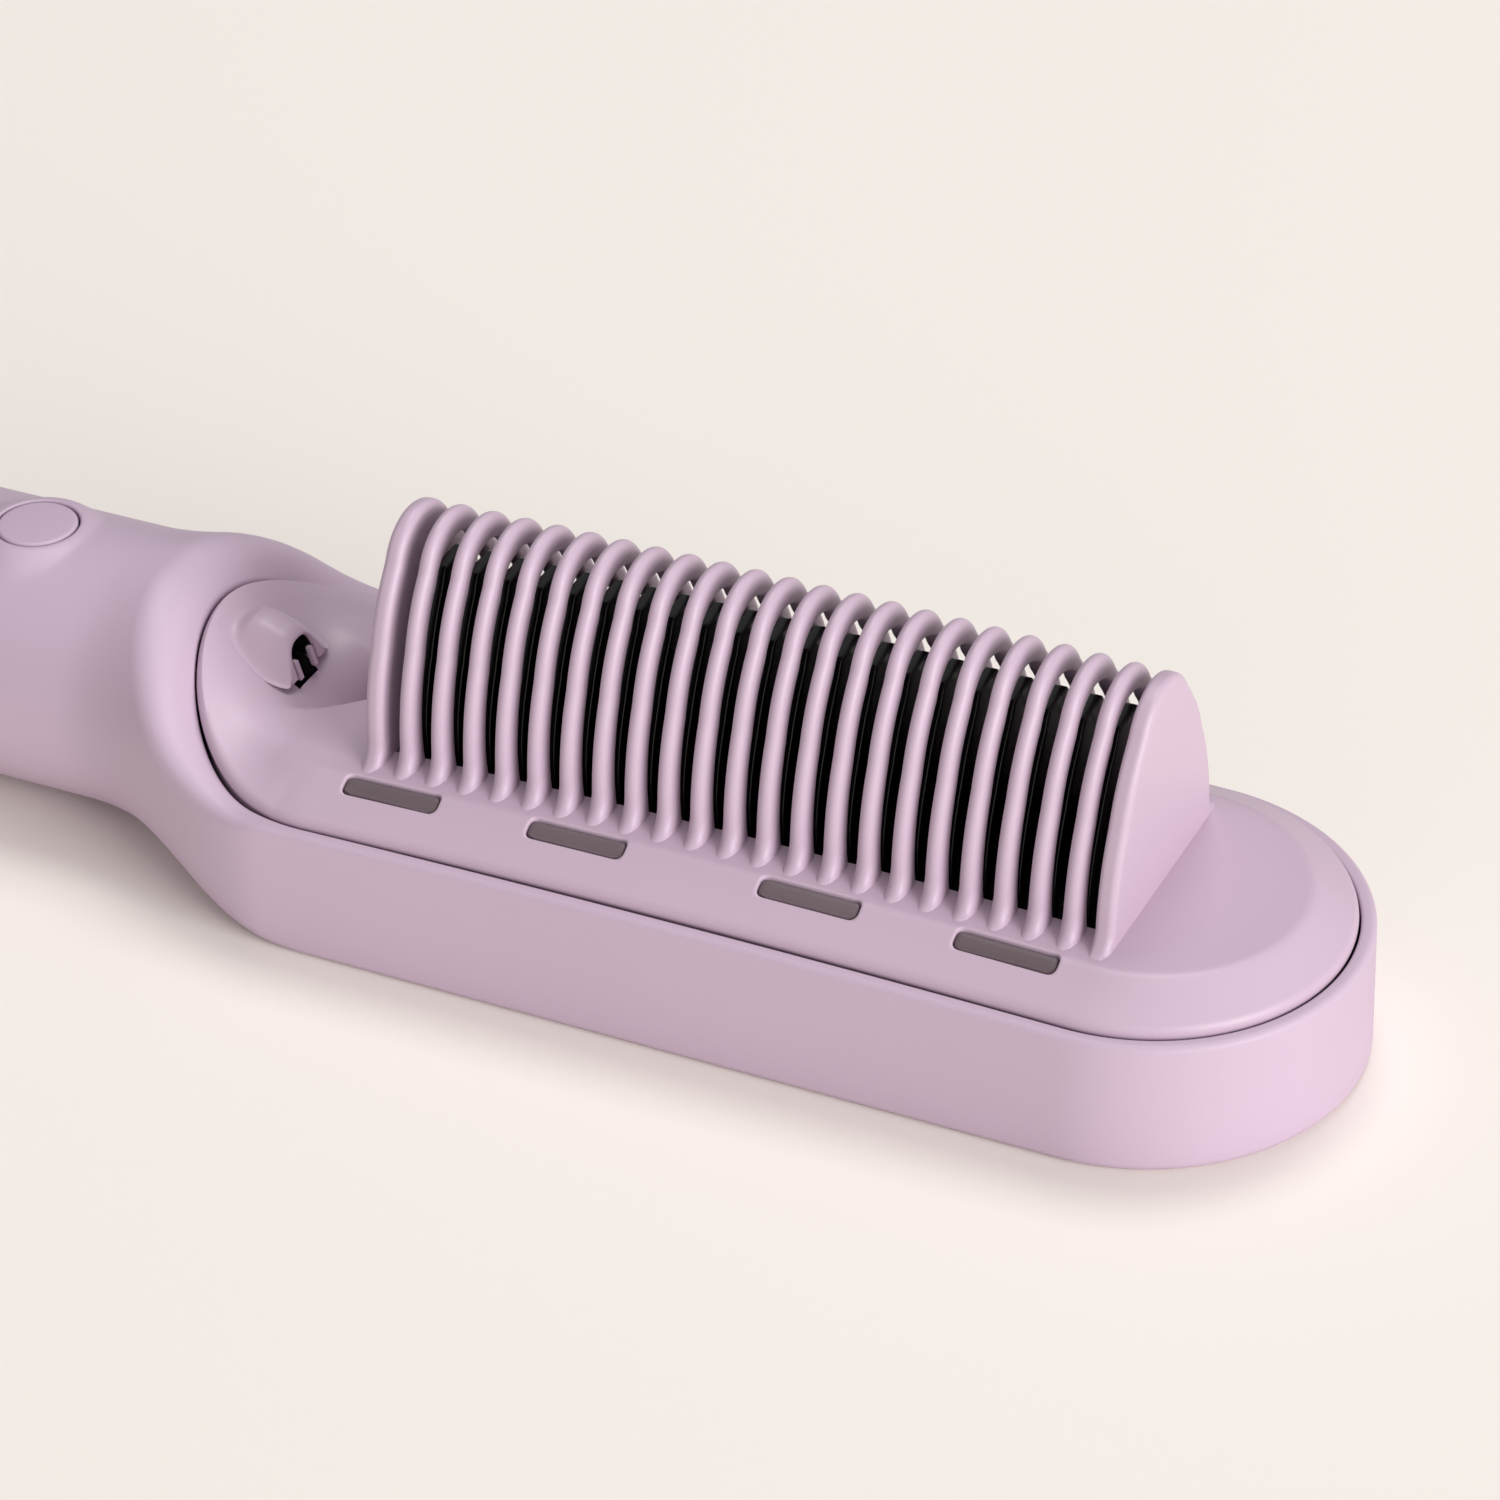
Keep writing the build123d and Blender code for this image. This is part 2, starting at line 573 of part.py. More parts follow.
def outlet_duct():
    """Passage from the hood's mouth to the space under the cover."""
    front = ROOT_X - HOOD_FRONT
    mouth = box(front - DUCT_LENGTH, front + 1, -OUTLET_HALF, OUTLET_HALF, OUTLET_BOTTOM, OUTLET_TOP)
    mouth = fillet(mouth.edges().filter_by(Axis.X), OUTLET_ROUND)
    drop = box(front - DUCT_LENGTH, front - DUCT_FACE, -OUTLET_HALF, OUTLET_HALF, 0, OUTLET_BOTTOM + OUTLET_ROUND)
    return mouth + drop


def rim_edges(solid):
    """Upper outer edge of the cover, all round."""
    found = []
    for edge in solid.edges():
        away = [edge @ share for share in (0.1, 0.5, 0.9)]
        reach = [sqrt((p.X - min(max(p.X, ROOT_X), TIP_X)) ** 2 + p.Y ** 2) for p in away]
        on_side = all(abs(r - COVER_RADIUS) < 0.02 for r in reach)
        if on_side and edge.bounding_box().min.Z > LEDGE_HEIGHT + 0.5:
            found.append(edge)
    return found


def comb_cover():
    """Cover with its ribbed guard, ion hood, slots, skirt and screw posts."""
    cover = cover_blank()
    cover = fillet(rim_edges(cover), EDGE_ROUND)
    cover += hood()
    cover -= stadium(COVER_RADIUS - COVER_WALL, 0, FRAME_TOP - FRAME_THICK)
    cover -= stadium(FRAME_HALF + FRAME_GAP, 0, FRAME_TOP)
    reach = COMB_REACH + COMB_PLAY
    cover -= box(COMB_X - reach, COMB_X + reach, -WINDOW_HALF, WINDOW_HALF, 0, HIGH)
    cover -= outlet_duct()
    for x, y in slot_places():
        cover -= slot(x, y, 0, HIGH, 0)
    cover += guard()
    for x, y in COVER_SCREWS:
        cover += post(x, y, PILLAR_TOP, FRAME_TOP + POST_OVERLAP, COVER_POST)
        cover -= post(x, y, 0, RECESS_DEPTH + COVER_SCREW_LENGTH, SCREW_RADIUS + RUN)
    for x, y in frame_screw_places():
        cover -= post(x, y, 0, FRAME_TOP - FRAME_THICK + FRAME_SCREW_LENGTH, SCREW_RADIUS + RUN)
    return cover


def frame_screw_places():
    """Middles of the four screws at the ends of the heater frame."""
    return [(COMB_X + x, y) for x in (-FRAME_SCREW_X, FRAME_SCREW_X) for y in (-FRAME_SCREW_Y, FRAME_SCREW_Y)]


def heating_comb():
    """Base with lips along its sides and a fin under every arch."""
    comb = box(COMB_X - COMB_REACH, COMB_X + COMB_REACH, -COMB_HALF, COMB_HALF, COMB_BOTTOM, COMB_BASE_TOP)
    lip = COMB_HALF + COMB_LIP
    comb += box(COMB_X - COMB_REACH, COMB_X + COMB_REACH, -lip, lip, COMB_BOTTOM, COMB_BOTTOM + COMB_LIP_THICK)
    half = WINDOW_HALF - FIN_GAP
    height = GUARD_HEIGHT - GUARD_CROWN - FIN_TOP_GAP
    face = bell_face(half, height, COMB_BOTTOM + 1 - DECK_HEIGHT)
    fin = extrude(face, FIN_WIDTH / 2, (1, 0, 0), both=True)
    comb += [rib_place(i) * fin for i in range(1, RIB_COUNT - 1)]
    for x in (-PLATE_SCREW_X, PLATE_SCREW_X):
        comb -= post(COMB_X + x, 0, 0, COMB_BOTTOM + PLATE_SCREW_HOLE, SCREW_RADIUS + RUN)
    return comb


def heater_frame():
    """Heat-proof frame round the comb's base, with a tab standing in each slot."""
    low = FRAME_TOP - FRAME_THICK
    frame = Pos(COMB_X, 0, low) * extrude(RectangleRounded(2 * FRAME_REACH, 2 * FRAME_HALF, FRAME_CORNER), FRAME_THICK)
    reach = COMB_REACH + FIT
    half = COMB_HALF + FIT
    frame -= box(COMB_X - reach, COMB_X + reach, -half, half, 0, HIGH)
    for x, y in slot_places():
        frame += slot(x, y, low, deck_point(x) - TAB_SET - SLOT_WIDTH / 4, TAB_GAP)
    for x, y in frame_screw_places():
        frame -= post(x, y, 0, HIGH, SCREW_RADIUS + RUN)
    return frame


def screw(length, head_radius=SCREW_HEAD_RADIUS):
    """Screw pointing up, its head's underside at the origin."""
    return post(0, 0, 0, length, SCREW_RADIUS) + post(0, 0, -SCREW_HEAD_THICK, 0, head_radius)


def frame_screws():
    low = FRAME_TOP - FRAME_THICK
    return [Pos(x, y, low) * screw(FRAME_SCREW_LENGTH) for x, y in frame_screw_places()]


def heater_parts():
    """Heating elements under the comb with their film, spring plate, sensor and fuse."""
    film_low = COMB_BOTTOM - FILM_THICK
    heater_low = film_low - HEATER_THICK
    plate_low = heater_low - PLATE_THICK
    offsets = [(i - (HEATER_COUNT - 1) / 2) * HEATER_PITCH for i in range(HEATER_COUNT)]
    ends = offsets[-1] + HEATER_LENGTH / 2
    side = HEATER_HALF + FILM_MARGIN
    film = box(COMB_X - ends, COMB_X + ends, -side, side, film_low, COMB_BOTTOM)
    heaters = []
    for offset in offsets:
        x = COMB_X + offset
        half = HEATER_LENGTH / 2
        heaters.append(box(x - half, x + half, -HEATER_HALF, HEATER_HALF, heater_low, film_low))
    plate = box(COMB_X - PLATE_REACH, COMB_X + PLATE_REACH, -PLATE_HALF, PLATE_HALF, plate_low, heater_low)
    screws = []
    for x in (-PLATE_SCREW_X, PLATE_SCREW_X):
        plate -= post(COMB_X + x, 0, 0, HIGH, SCREW_RADIUS + RUN)
        screws.append(Pos(COMB_X + x, 0, plate_low) * screw(COMB_BOTTOM + PLATE_SCREW_GRIP - plate_low))
    sensor_z = COMB_BOTTOM - SENSOR_RADIUS - FIT
    sensor_x = COMB_X + SENSOR_X
    sensor_y = PLATE_HALF + PART_GAP + SENSOR_RADIUS
    sensor = rod(sensor_x, sensor_x + SENSOR_LENGTH, sensor_y, sensor_z, SENSOR_RADIUS)
    fuse_z = COMB_BOTTOM - FUSE_RADIUS - FIT
    fuse_x = COMB_X + FUSE_X
    fuse_y = -PLATE_HALF - PART_GAP - FUSE_RADIUS
    fuse = rod(fuse_x, fuse_x + FUSE_LENGTH, fuse_y, fuse_z, FUSE_RADIUS)
    return {
        "insulation_film": film,
        "ptc_heaters": heaters,
        "pressure_plate": plate,
        "pressure_screws": screws,
        "thermistor": sensor,
        "thermal_fuse": fuse,
    }


def ion_emitter():
    """Holder with its carbon brush, in the duct behind the hood's mouth."""
    back = ROOT_X - HOOD_FRONT - DUCT_LENGTH + FIT
    half = OUTLET_HALF - FIT
    holder = box(back, back + HOLDER_LENGTH, -half, half, OUTLET_BOTTOM + FIT, OUTLET_TOP - FIT)
    holder = fillet(holder.edges().filter_by(Axis.X), OUTLET_ROUND)
    brush = rod(back, back + EMITTER_LENGTH, 0, (OUTLET_BOTTOM + OUTLET_TOP) / 2, EMITTER_RADIUS)
    return holder + brush


def heat_shield():
    """Mica sheet on the head's floor."""
    sheet = stadium(COVER_RADIUS + COVER_GAP - LEDGE_WIDTH - FIT, FLOOR, FLOOR + SHIELD_THICK)
    sheet -= box(-LONG, ROOT_X, -LONG, LONG, 0, HIGH)
    for x, y in COVER_SCREWS:
        sheet -= post(x, y, 0, HIGH, PILLAR_HALF + FIT)
    return sheet


def cover_screws():
    return [Pos(x, y, RECESS_DEPTH) * screw(COVER_SCREW_LENGTH) for x, y in COVER_SCREWS]


def board_screw_places():
    ends = (TRAY_START + BOARD_SCREW_SET, TRAY_END - BOARD_SCREW_SET)
    return [(x, y) for x in ends for y in (-BOARD_SCREW_SIDE, BOARD_SCREW_SIDE)]


def pcb_carrier():
    """Tray between two bulkheads that fill the tube, with pillars for the board."""
    tray = box(TRAY_START, TRAY_END, -TRAY_HALF, TRAY_HALF, TRAY_TOP - TRAY_THICK, TRAY_TOP)
    for x in (TRAY_START - BULKHEAD, TRAY_END):
        tray += loft([section(x, WALL + FIT), section(x + BULKHEAD, WALL + FIT)])
        tray -= box(x - 1, x + BULKHEAD + 1, -WIRE_HALF, WIRE_HALF, WIRE_LOW, WIRE_TOP)
    for x, y in board_screw_places():
        tray += post(x, y, TRAY_TOP, BOARD_TOP - BOARD_THICK, PILLAR_RADIUS)
        tray -= post(x, y, BOARD_TOP - BOARD_SCREW_LENGTH - FIT, HIGH / 2, SCREW_RADIUS + RUN)
    return tray


def board_block(start, end, side0, side1, height):
    """Component standing on the board, between two shares of the handle."""
    return box(along(start), along(end), side0, side1, BOARD_TOP, BOARD_TOP + height)


def board_parts():
    """Control board and what is soldered or screwed to it."""
    start = TRAY_START + BOARD_SET
    end = TRAY_END - BOARD_SET
    board = box(start, end, -BOARD_HALF, BOARD_HALF, BOARD_TOP - BOARD_THICK, BOARD_TOP)
    screws = []
    for x, y in board_screw_places():
        board -= post(x, y, 0, HIGH, SCREW_RADIUS + RUN)
        screws.append(Pos(x, y, BOARD_TOP) * Rot(180, 0, 0) * screw(BOARD_SCREW_LENGTH))
    half = SWITCH_SIZE / 2
    switches = []
    for x in BUTTONS.values():
        block = box(x - half, x + half, -half, half, BOARD_TOP, BOARD_TOP + SWITCH_HEIGHT)
        well = PLUNGER_DEPTH + BUTTON_TRAVEL + SWITCH_WELL
        switches.append(block - post(x, 0, BOARD_TOP + SWITCH_HEIGHT - well, HIGH, PLUNGER_RADIUS + RUN))
    start, end, low = GENERATOR
    side = TRAY_HALF - BOARD_SCREW_EDGE
    generator = box(along(start), along(end), -side, side, low * HANDLE_TOP, TRAY_TOP - TRAY_THICK)
    return {
        "control_board": board,
        "board_screws": screws,
        "tact_switches": switches,
        "ion_generator": generator,
        "microcontroller": board_block(*CONTROLLER),
        "film_capacitor": board_block(*CAPACITOR),
        "triac": board_block(*TRIAC),
        "terminal_block": board_block(*TERMINAL),
    }


def led_places():
    return [along(LED_SHARE + i * LED_STEP) for i in range(LED_COUNT)]


def leds():
    half = LED_SIZE / 2
    return [box(x - half, x + half, -half, half, BOARD_TOP, BOARD_TOP + LED_THICK) for x in led_places()]


def light_guide():
    """Clear bar with a pin through the housing over each light."""
    places = led_places()
    top = GUIDE_BAR_LOW + GUIDE_BAR_THICK
    half = GUIDE_BAR_HALF
    bar = box(places[-1] - half, places[0] + half, -half, half, GUIDE_BAR_LOW, top)
    for x in places:
        bar += post(x, 0, BOARD_TOP + LED_THICK + FIT, back_height(x) - GUIDE_PIN_SINK, GUIDE_PIN_RADIUS)
    return bar


def push_button(x):
    """Cap with its flange and stem."""
    top = back_height(x) + BUTTON_PROUD
    flange_top = GUIDE_BOTTOM - FLANGE_GAP
    flange_low = flange_top - BUTTON_FLANGE_THICK
    cap = post(x, 0, flange_low, top, BUTTON_RADIUS)
    cap = fillet(cap.edges().sort_by(Axis.Z)[-1], BUTTON_EDGE)
    cap += post(x, 0, flange_low, flange_top, BUTTON_RADIUS + BUTTON_FLANGE)
    return cap + post(x, 0, BOARD_TOP + SWITCH_HEIGHT + PLUNGER_OUT, flange_low, STEM_RADIUS)


def plunger(x):
    """Switch plunger under a button's stem."""
    top = BOARD_TOP + SWITCH_HEIGHT
    return post(x, 0, top - PLUNGER_DEPTH, top + PLUNGER_OUT, PLUNGER_RADIUS)


def end_cap():
    """Cap over the tube's end, with its spigot, screw recesses and the swivel's bore."""
    cap = extrude(section(TAIL_X, 0), CAP_THICK, (-1, 0, 0))
    cap = fillet(cap.faces().sort_by(Axis.X)[0].edges(), CAP_ROUND)
    spigot = extrude(section(TAIL_X, WALL + FIT), CAP_SPIGOT, (1, 0, 0))
    spigot -= extrude(section(TAIL_X, 2 * WALL + FIT), CAP_SPIGOT, (1, 0, 0))
    for y in (-CAP_SCREW_SIDE, CAP_SCREW_SIDE):
        spigot -= rod(TAIL_X, TAIL_X + CAP_SPIGOT, y, SWIVEL_Z, CAP_BOSS_RADIUS + FIT)
    cap += spigot
    cap -= rod(-LENGTH, LENGTH, 0, SWIVEL_Z, SWIVEL_NECK + RUN)
    for y in (-CAP_SCREW_SIDE, CAP_SCREW_SIDE):
        cap -= rod(-LENGTH, LENGTH, y, SWIVEL_Z, SCREW_RADIUS + RUN)
        cap -= rod(-LENGTH, TAIL_X - CAP_THICK + SCREW_HEAD_THICK + CAP_SCREW_SINK, y, SWIVEL_Z, SCREW_HEAD_RADIUS + FIT)
    return cap


def cap_screws():
    seat = TAIL_X - CAP_THICK + SCREW_HEAD_THICK + CAP_SCREW_SINK
    places = [(seat, y) for y in (-CAP_SCREW_SIDE, CAP_SCREW_SIDE)]
    return [Pos(x, y, SWIVEL_Z) * Rot(0, 90, 0) * screw(CAP_SCREW_LENGTH) for x, y in places]


def cord_swivel():
    """Turning bush for the cord: collar outside, neck in the cap, groove inside."""
    outer = -LENGTH / 2
    collar = TAIL_X - CAP_THICK - FIT
    end = TAIL_X + SWIVEL_END
    body = rod(outer, collar, 0, SWIVEL_Z, SWIVEL_RADIUS)
    body = fillet(body.edges().sort_by(Axis.X)[0], SWIVEL_EDGE)
    body += rod(collar - 1, end, 0, SWIVEL_Z, SWIVEL_NECK)
    groove = rod(TAIL_X + FIT, TAIL_X + FIT + CLIP_THICK, 0, SWIVEL_Z, SWIVEL_NECK + 1)
    groove -= rod(TAIL_X, TAIL_X + 2, 0, SWIVEL_Z, GROOVE_RADIUS)
    body -= groove
    return body - rod(outer - 1, end + 1, 0, SWIVEL_Z, SWIVEL_BORE)


def swivel_clip():
    """Ring in the swivel's groove, behind the cap."""
    start = TAIL_X + FIT
    ring = rod(start, start + CLIP_THICK, 0, SWIVEL_Z, CLIP_RADIUS)
    return ring - rod(start - 1, start + CLIP_THICK + 1, 0, SWIVEL_Z, GROOVE_RADIUS)


def save(name, shape):
    """Write one sub-part; a list becomes a group of separate solids."""
    group = Compound(children=[Part() + piece for piece in shape]) if isinstance(shape, list) else shape
    export_step(group, f"parts/{name}.step")


pieces = {
    "main_housing": main_housing(),
    "comb_cover": comb_cover(),
    "heating_comb": heating_comb(),
    "heater_frame": heater_frame(),
    "frame_screws": frame_screws(),
    "ion_emitter": ion_emitter(),
    "heat_shield": heat_shield(),
    "cover_screws": cover_screws(),
    "pcb_carrier": pcb_carrier(),
    "status_leds": leds(),
    "light_guide": light_guide(),
    "end_cap": end_cap(),
    "cap_screws": cap_screws(),
    "cord_swivel": cord_swivel(),
    "swivel_clip": swivel_clip(),
}
pieces.update(heater_parts())
pieces.update(board_parts())
for button_name, button_x in BUTTONS.items():
    pieces[f"{button_name}_button"] = push_button(button_x)
    pieces[f"{button_name}_plunger"] = plunger(button_x)
for piece_name, piece in pieces.items():
    save(piece_name, piece)
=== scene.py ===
from math import cos, pi, radians, sin, tan

import bmesh
import bpy
import numpy as np
from mathutils import Matrix, Vector


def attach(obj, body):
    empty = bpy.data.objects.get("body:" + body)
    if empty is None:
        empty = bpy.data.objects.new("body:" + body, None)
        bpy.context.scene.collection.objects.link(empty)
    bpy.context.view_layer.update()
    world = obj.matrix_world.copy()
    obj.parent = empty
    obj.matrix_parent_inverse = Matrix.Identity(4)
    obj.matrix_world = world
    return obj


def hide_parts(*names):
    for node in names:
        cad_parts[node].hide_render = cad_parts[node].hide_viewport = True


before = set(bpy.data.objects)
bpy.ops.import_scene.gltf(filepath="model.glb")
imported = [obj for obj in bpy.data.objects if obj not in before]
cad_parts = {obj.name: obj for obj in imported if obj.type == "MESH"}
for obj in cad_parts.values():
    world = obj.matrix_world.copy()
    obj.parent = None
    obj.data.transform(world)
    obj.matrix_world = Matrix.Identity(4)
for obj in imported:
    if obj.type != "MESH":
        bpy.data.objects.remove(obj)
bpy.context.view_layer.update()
MM = 0.001


# Materials

def linear(code):
    """sRGB hex code as linear red, green, blue and alpha."""
    parts = [int(code[i:i + 2], 16) / 255 for i in (0, 2, 4)]
    return tuple(p / 12.92 if p <= 0.04045 else ((p + 0.055) / 1.055) ** 2.4 for p in parts) + (1.0,)


def add(tree, kind, links=None, **settings):
    """Adds a node, with its settings by attribute or socket name, and its links from other sockets."""
    node = tree.nodes.new(kind)
    for key, value in settings.items():
        name = key.replace("_", " ")
        if hasattr(node, key):
            setattr(node, key, value)
        else:
            node.inputs[name].default_value = value
    for name, source in (links or {}).items():
        tree.links.new(source, node.inputs[name])
    return node


def new_material(name):
    """Empty node material with its output; gives the tree and the surface socket."""
    material = bpy.data.materials.new(name)
    material.use_nodes = True
    tree = material.node_tree
    tree.nodes.clear()
    output = tree.nodes.new("ShaderNodeOutputMaterial")
    return material, tree, output.inputs["Surface"]


def moulded(name, colour, second, roughness, grain, depth, **shader):
    """Moulded or coated surface: two near tones in slow clouds, and a fine grain of the given size in mm.

    The grain is drawn as noise whose scale is one cell per grain width."""
    material, tree, surface = new_material(name)
    place = add(tree, "ShaderNodeTexCoord").outputs["Object"]
    clouds = add(tree, "ShaderNodeTexNoise", {"Vector": place}, Scale=1 / (30 * MM), Detail=2.0)
    tones = add(tree, "ShaderNodeValToRGB", {"Fac": clouds.outputs["Fac"]})
    tones.color_ramp.elements[0].position = 0.35
    tones.color_ramp.elements[0].color = linear(colour)
    tones.color_ramp.elements[1].position = 0.65
    tones.color_ramp.elements[1].color = linear(second)
    texture = add(tree, "ShaderNodeTexNoise", {"Vector": place}, Scale=1 / (grain * MM), Detail=3.0)
    bump = add(tree, "ShaderNodeBump", {"Height": texture.outputs["Fac"]}, Strength=1.0, Distance=depth * MM)
    principled = add(tree, "ShaderNodeBsdfPrincipled",
                     {"Base Color": tones.outputs["Color"], "Normal": bump.outputs["Normal"]},
                     Roughness=roughness, **shader)
    tree.links.new(principled.outputs[0], surface)
    return material


# Painted ABS with a fine spark-eroded grain: matte, with a soft broad highlight.
housing_lilac = moulded("moulded_abs_matte_lilac", "c5aec1", "c7b0c3", 0.52, 0.35, 0.012)
# Heat-proof moulded nylon blend, a shade pinker and smoother than the housing: satin.
cover_lilac = moulded("moulded_nylon_satin_lilac", "c5adbf", "c7afc1", 0.42, 0.4, 0.009)
# Aluminium comb with a black ceramic coat: glossy near-black.
comb_black = moulded("ceramic_coated_aluminium_black", "060506", "090808", 0.2, 0.8, 0.002, Coat_Weight=0.1)
# Glass-filled heat-proof nylon: dull grey, a little mottled by its fibres.
tab_grey = moulded("glass_filled_nylon_grey", "635459", "6c5d62", 0.45, 0.5, 0.006)
# Zinc-plated steel: bright bluish grey.
zinc_steel = moulded("zinc_plated_steel", "b9bdc4", "c6cad0", 0.28, 0.3, 0.002, Metallic=1.0)
# Rolled spring steel: darker, faintly blue.
spring_steel = moulded("rolled_spring_steel", "8f949b", "9aa0a8", 0.32, 0.3, 0.002, Metallic=1.0)
# Sintered heater ceramic: chalky grey-white.
heater_ceramic = moulded("sintered_heater_ceramic", "c9c4ba", "d3cec4", 0.75, 0.25, 0.01)
# Polyimide film: clear amber.
polyimide = moulded("polyimide_film_amber", "b5701f", "c07a26", 0.25, 1.0, 0.002)
# Glass bead: dark amber glass.
bead_glass = moulded("bead_glass_amber", "8a3b16", "93421b", 0.08, 1.0, 0.001)
# Tinned brass: pale and softly bright.
tinned_brass = moulded("tinned_brass", "c9c8c2", "d5d4ce", 0.3, 0.3, 0.002, Metallic=1.0)
# Pressed mica sheet: pale grey-gold with flakes.
mica_sheet = moulded("pressed_mica_sheet", "b9b09a", "cfc6ae", 0.4, 1.5, 0.01)
# Black moulded plastic: satin.
black_plastic = moulded("moulded_pbt_black", "141414", "1a1a1a", 0.45, 0.3, 0.004)
# Natural nylon: milky white.
white_nylon = moulded("moulded_nylon_white", "e8e6df", "efede6", 0.45, 0.3, 0.004)
# Board with green solder mask: glossy green.
board_green = moulded("solder_mask_green", "14502d", "185a33", 0.28, 0.6, 0.003)
# White lamp body: chalky white.
lamp_white = moulded("lamp_body_white", "ece9dc", "f4f1e4", 0.35, 0.5, 0.002)
# Film capacitor case: glossy yellow.
case_yellow = moulded("moulded_epoxy_yellow", "c79a1c", "cfa226", 0.3, 0.5, 0.003)
# Screw terminal body: matte green.
terminal_green = moulded("moulded_nylon_green", "2d7a45", "33834c", 0.45, 0.3, 0.004)
# Flexible nylon of the cord's swivel: dull dark grey.
swivel_grey = moulded("moulded_nylon_dark_grey", "4a4549", "514b50", 0.5, 0.3, 0.004)
# Polished acrylic: clear, with a faint white cast.
clear_acrylic = moulded("polished_acrylic_clear", "f2f2f2", "f6f6f6", 0.06, 1.0, 0.0005,
                        Transmission_Weight=0.9, IOR=1.49)

NODE_FINISH = {
    "main_housing": housing_lilac,
    "comb_cover": cover_lilac,
    "end_cap": housing_lilac,
    "heating_comb": comb_black,
    "heater_frame": tab_grey,
    "frame_screws": zinc_steel,
    "cover_screws": zinc_steel,
    "cap_screws": zinc_steel,
    "board_screws": zinc_steel,
    "pressure_screws": zinc_steel,
    "swivel_clip": spring_steel,
    "pressure_plate": spring_steel,
    "ptc_heaters": heater_ceramic,
    "insulation_film": polyimide,
    "thermistor": bead_glass,
    "thermal_fuse": tinned_brass,
    "heat_shield": mica_sheet,
    "ion_emitter": black_plastic,
    "ion_generator": black_plastic,
    "tact_switches": black_plastic,
    "microcontroller": black_plastic,
    "triac": black_plastic,
    "pcb_carrier": white_nylon,
    "control_board": board_green,
    "status_leds": lamp_white,
    "light_guide": clear_acrylic,
    "film_capacitor": case_yellow,
    "terminal_block": terminal_green,
    "cord_swivel": swivel_grey,
}
for key in ("ion", "power", "plus", "minus"):
    NODE_FINISH[key + "_button"] = housing_lilac
    NODE_FINISH[key + "_plunger"] = black_plastic
for node_name, material in NODE_FINISH.items():
    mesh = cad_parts[node_name].data
    mesh.materials.clear()
    mesh.materials.append(material)


# Sizes, in mm

TIP_X = 117.3             # centre of the tip's round end
ROOT_X = 27.9             # centre of the head's other round end
HEAD_X = (TIP_X + ROOT_X) / 2
HEAD_RADIUS = 24.2
HEAD_CROWN = 12.7         # radius of the round back where it meets the head
HEAD_CORNER = 1.2         # radius of the head's lower corners
SEAT_RADIUS = 22.5        # wall round the cover's seat
COVER_RADIUS = 22.28
HANDLE_HALF = 15.9        # half width of the handle at the neck
HANDLE_HEIGHT = 30.9
HANDLE_CROWN = 15.7
HANDLE_CORNER = 13.75
TAIL_TAPER = 1.5          # what the handle's half width and radii lose towards the tail
TAIL_FALL = 1.7           # what its height loses
NECK_START = -7.0
NECK_END = 22.5
NECK_JOIN = -5.0          # last full section of the handle
HEAD_SECTION = ROOT_X + 9  # from here on the section stays the same
TAIL_X = -130.5

SPLIT_HEIGHT = 16.8       # height of the split at the middle of the comb
SPLIT_ARCH = 2130.0       # radius of its long arch, which the ribs fan out along
SPLIT_END = 3.1           # where the split crosses the crown
SCOOP_X = 20.8            # where the split starts to climb
SCOOP_RADIUS = 14.9
SCOOP_ANGLE = radians(57)
ROLL_WIDE = 3.4           # rim round by the handle
ROLL_NARROW = 0.8         # and along the front
ROLL_FADE = (8, 24)       # where the one runs into the other
HOUSING_WALL = 1.2
SEAT_EDGE = 0.35          # round of the seat's edge
SEAT_DEPTH = 3.0

COMB_X = 75.1             # middle of the comb
DECK_HEIGHT = 21.1        # height of the deck there
DECK_ARCH = 1500.0        # radius of the deck's long arch
RAMP_X = 21.1             # where the deck starts to climb
RAMP_RADIUS = 18.6
BAND = 5.6                # width of the sloping band round the deck
BAND_LOSS = 0.9           # what it loses round the tip
BAND_DROP = (0.5, 2.6)    # fall over the band at the root, and what it gains towards the tip
CREASE = 0.025            # softness of the crease inside the band, in mm squared
WINDOW = 10.8             # half the width of the comb's window
WINDOW_ENDS = (COMB_X - 41.8, COMB_X + 41.8)
WINDOW_WALL = 4.5         # depth of the window's walls
EDGE_ROUND = 1.3          # round along the cover's edge, which turns under above the seam
EDGE_START, EDGE_END = radians(62), radians(-35)
SLOT_PLACES = [HEAD_X + s for s in (-36.2, -13.7, 13.7, 36.2)]
SLOT_Y = 17.4
SLOT_LENGTH, SLOT_WIDTH, SLOT_CORNER = 11.7, 2.3, 0.85
SLOT_WALL = 3.0
SLOT_STRIP = (15.5, 19.3)  # strip of the deck that holds the slots
SLOT_REACH = 6.6          # half length of the patch round a slot
TAB_GAP = 0.17            # gap between a tab and its slot

RIB_PITCH = 3.9
RIB_COUNT = 23            # with the end plate at each end
RIB_FIRST = COMB_X - RIB_PITCH * (RIB_COUNT - 1) / 2
RIB_HALF, RIB_TOP = 13.4, 25.05
RIB_INSIDE = 22.15        # height of the arch's inner side
RIB_FOOT = 15.6           # half width over the foot's points
RIB_SUNK = -0.8           # how deep the feet reach into the deck
BELL_START = 2.7          # height at which a rib's foot ends
PLATE_THICK = 2.2
FIN_HALF, FIN_BELL = 9.7, 21.0
FIN_TOP = 19.6            # where the bell of a fin is cut off flat
FIN_TAPER = 0.32          # share that it narrows by towards the top
FIN_THICK = 1.5
FIN_EDGE = 0.2            # round of its edges
FIN_FOOT = 15.6           # height of its foot, inside the base bar
BAR_REACH = 41.5          # half length of the comb's base

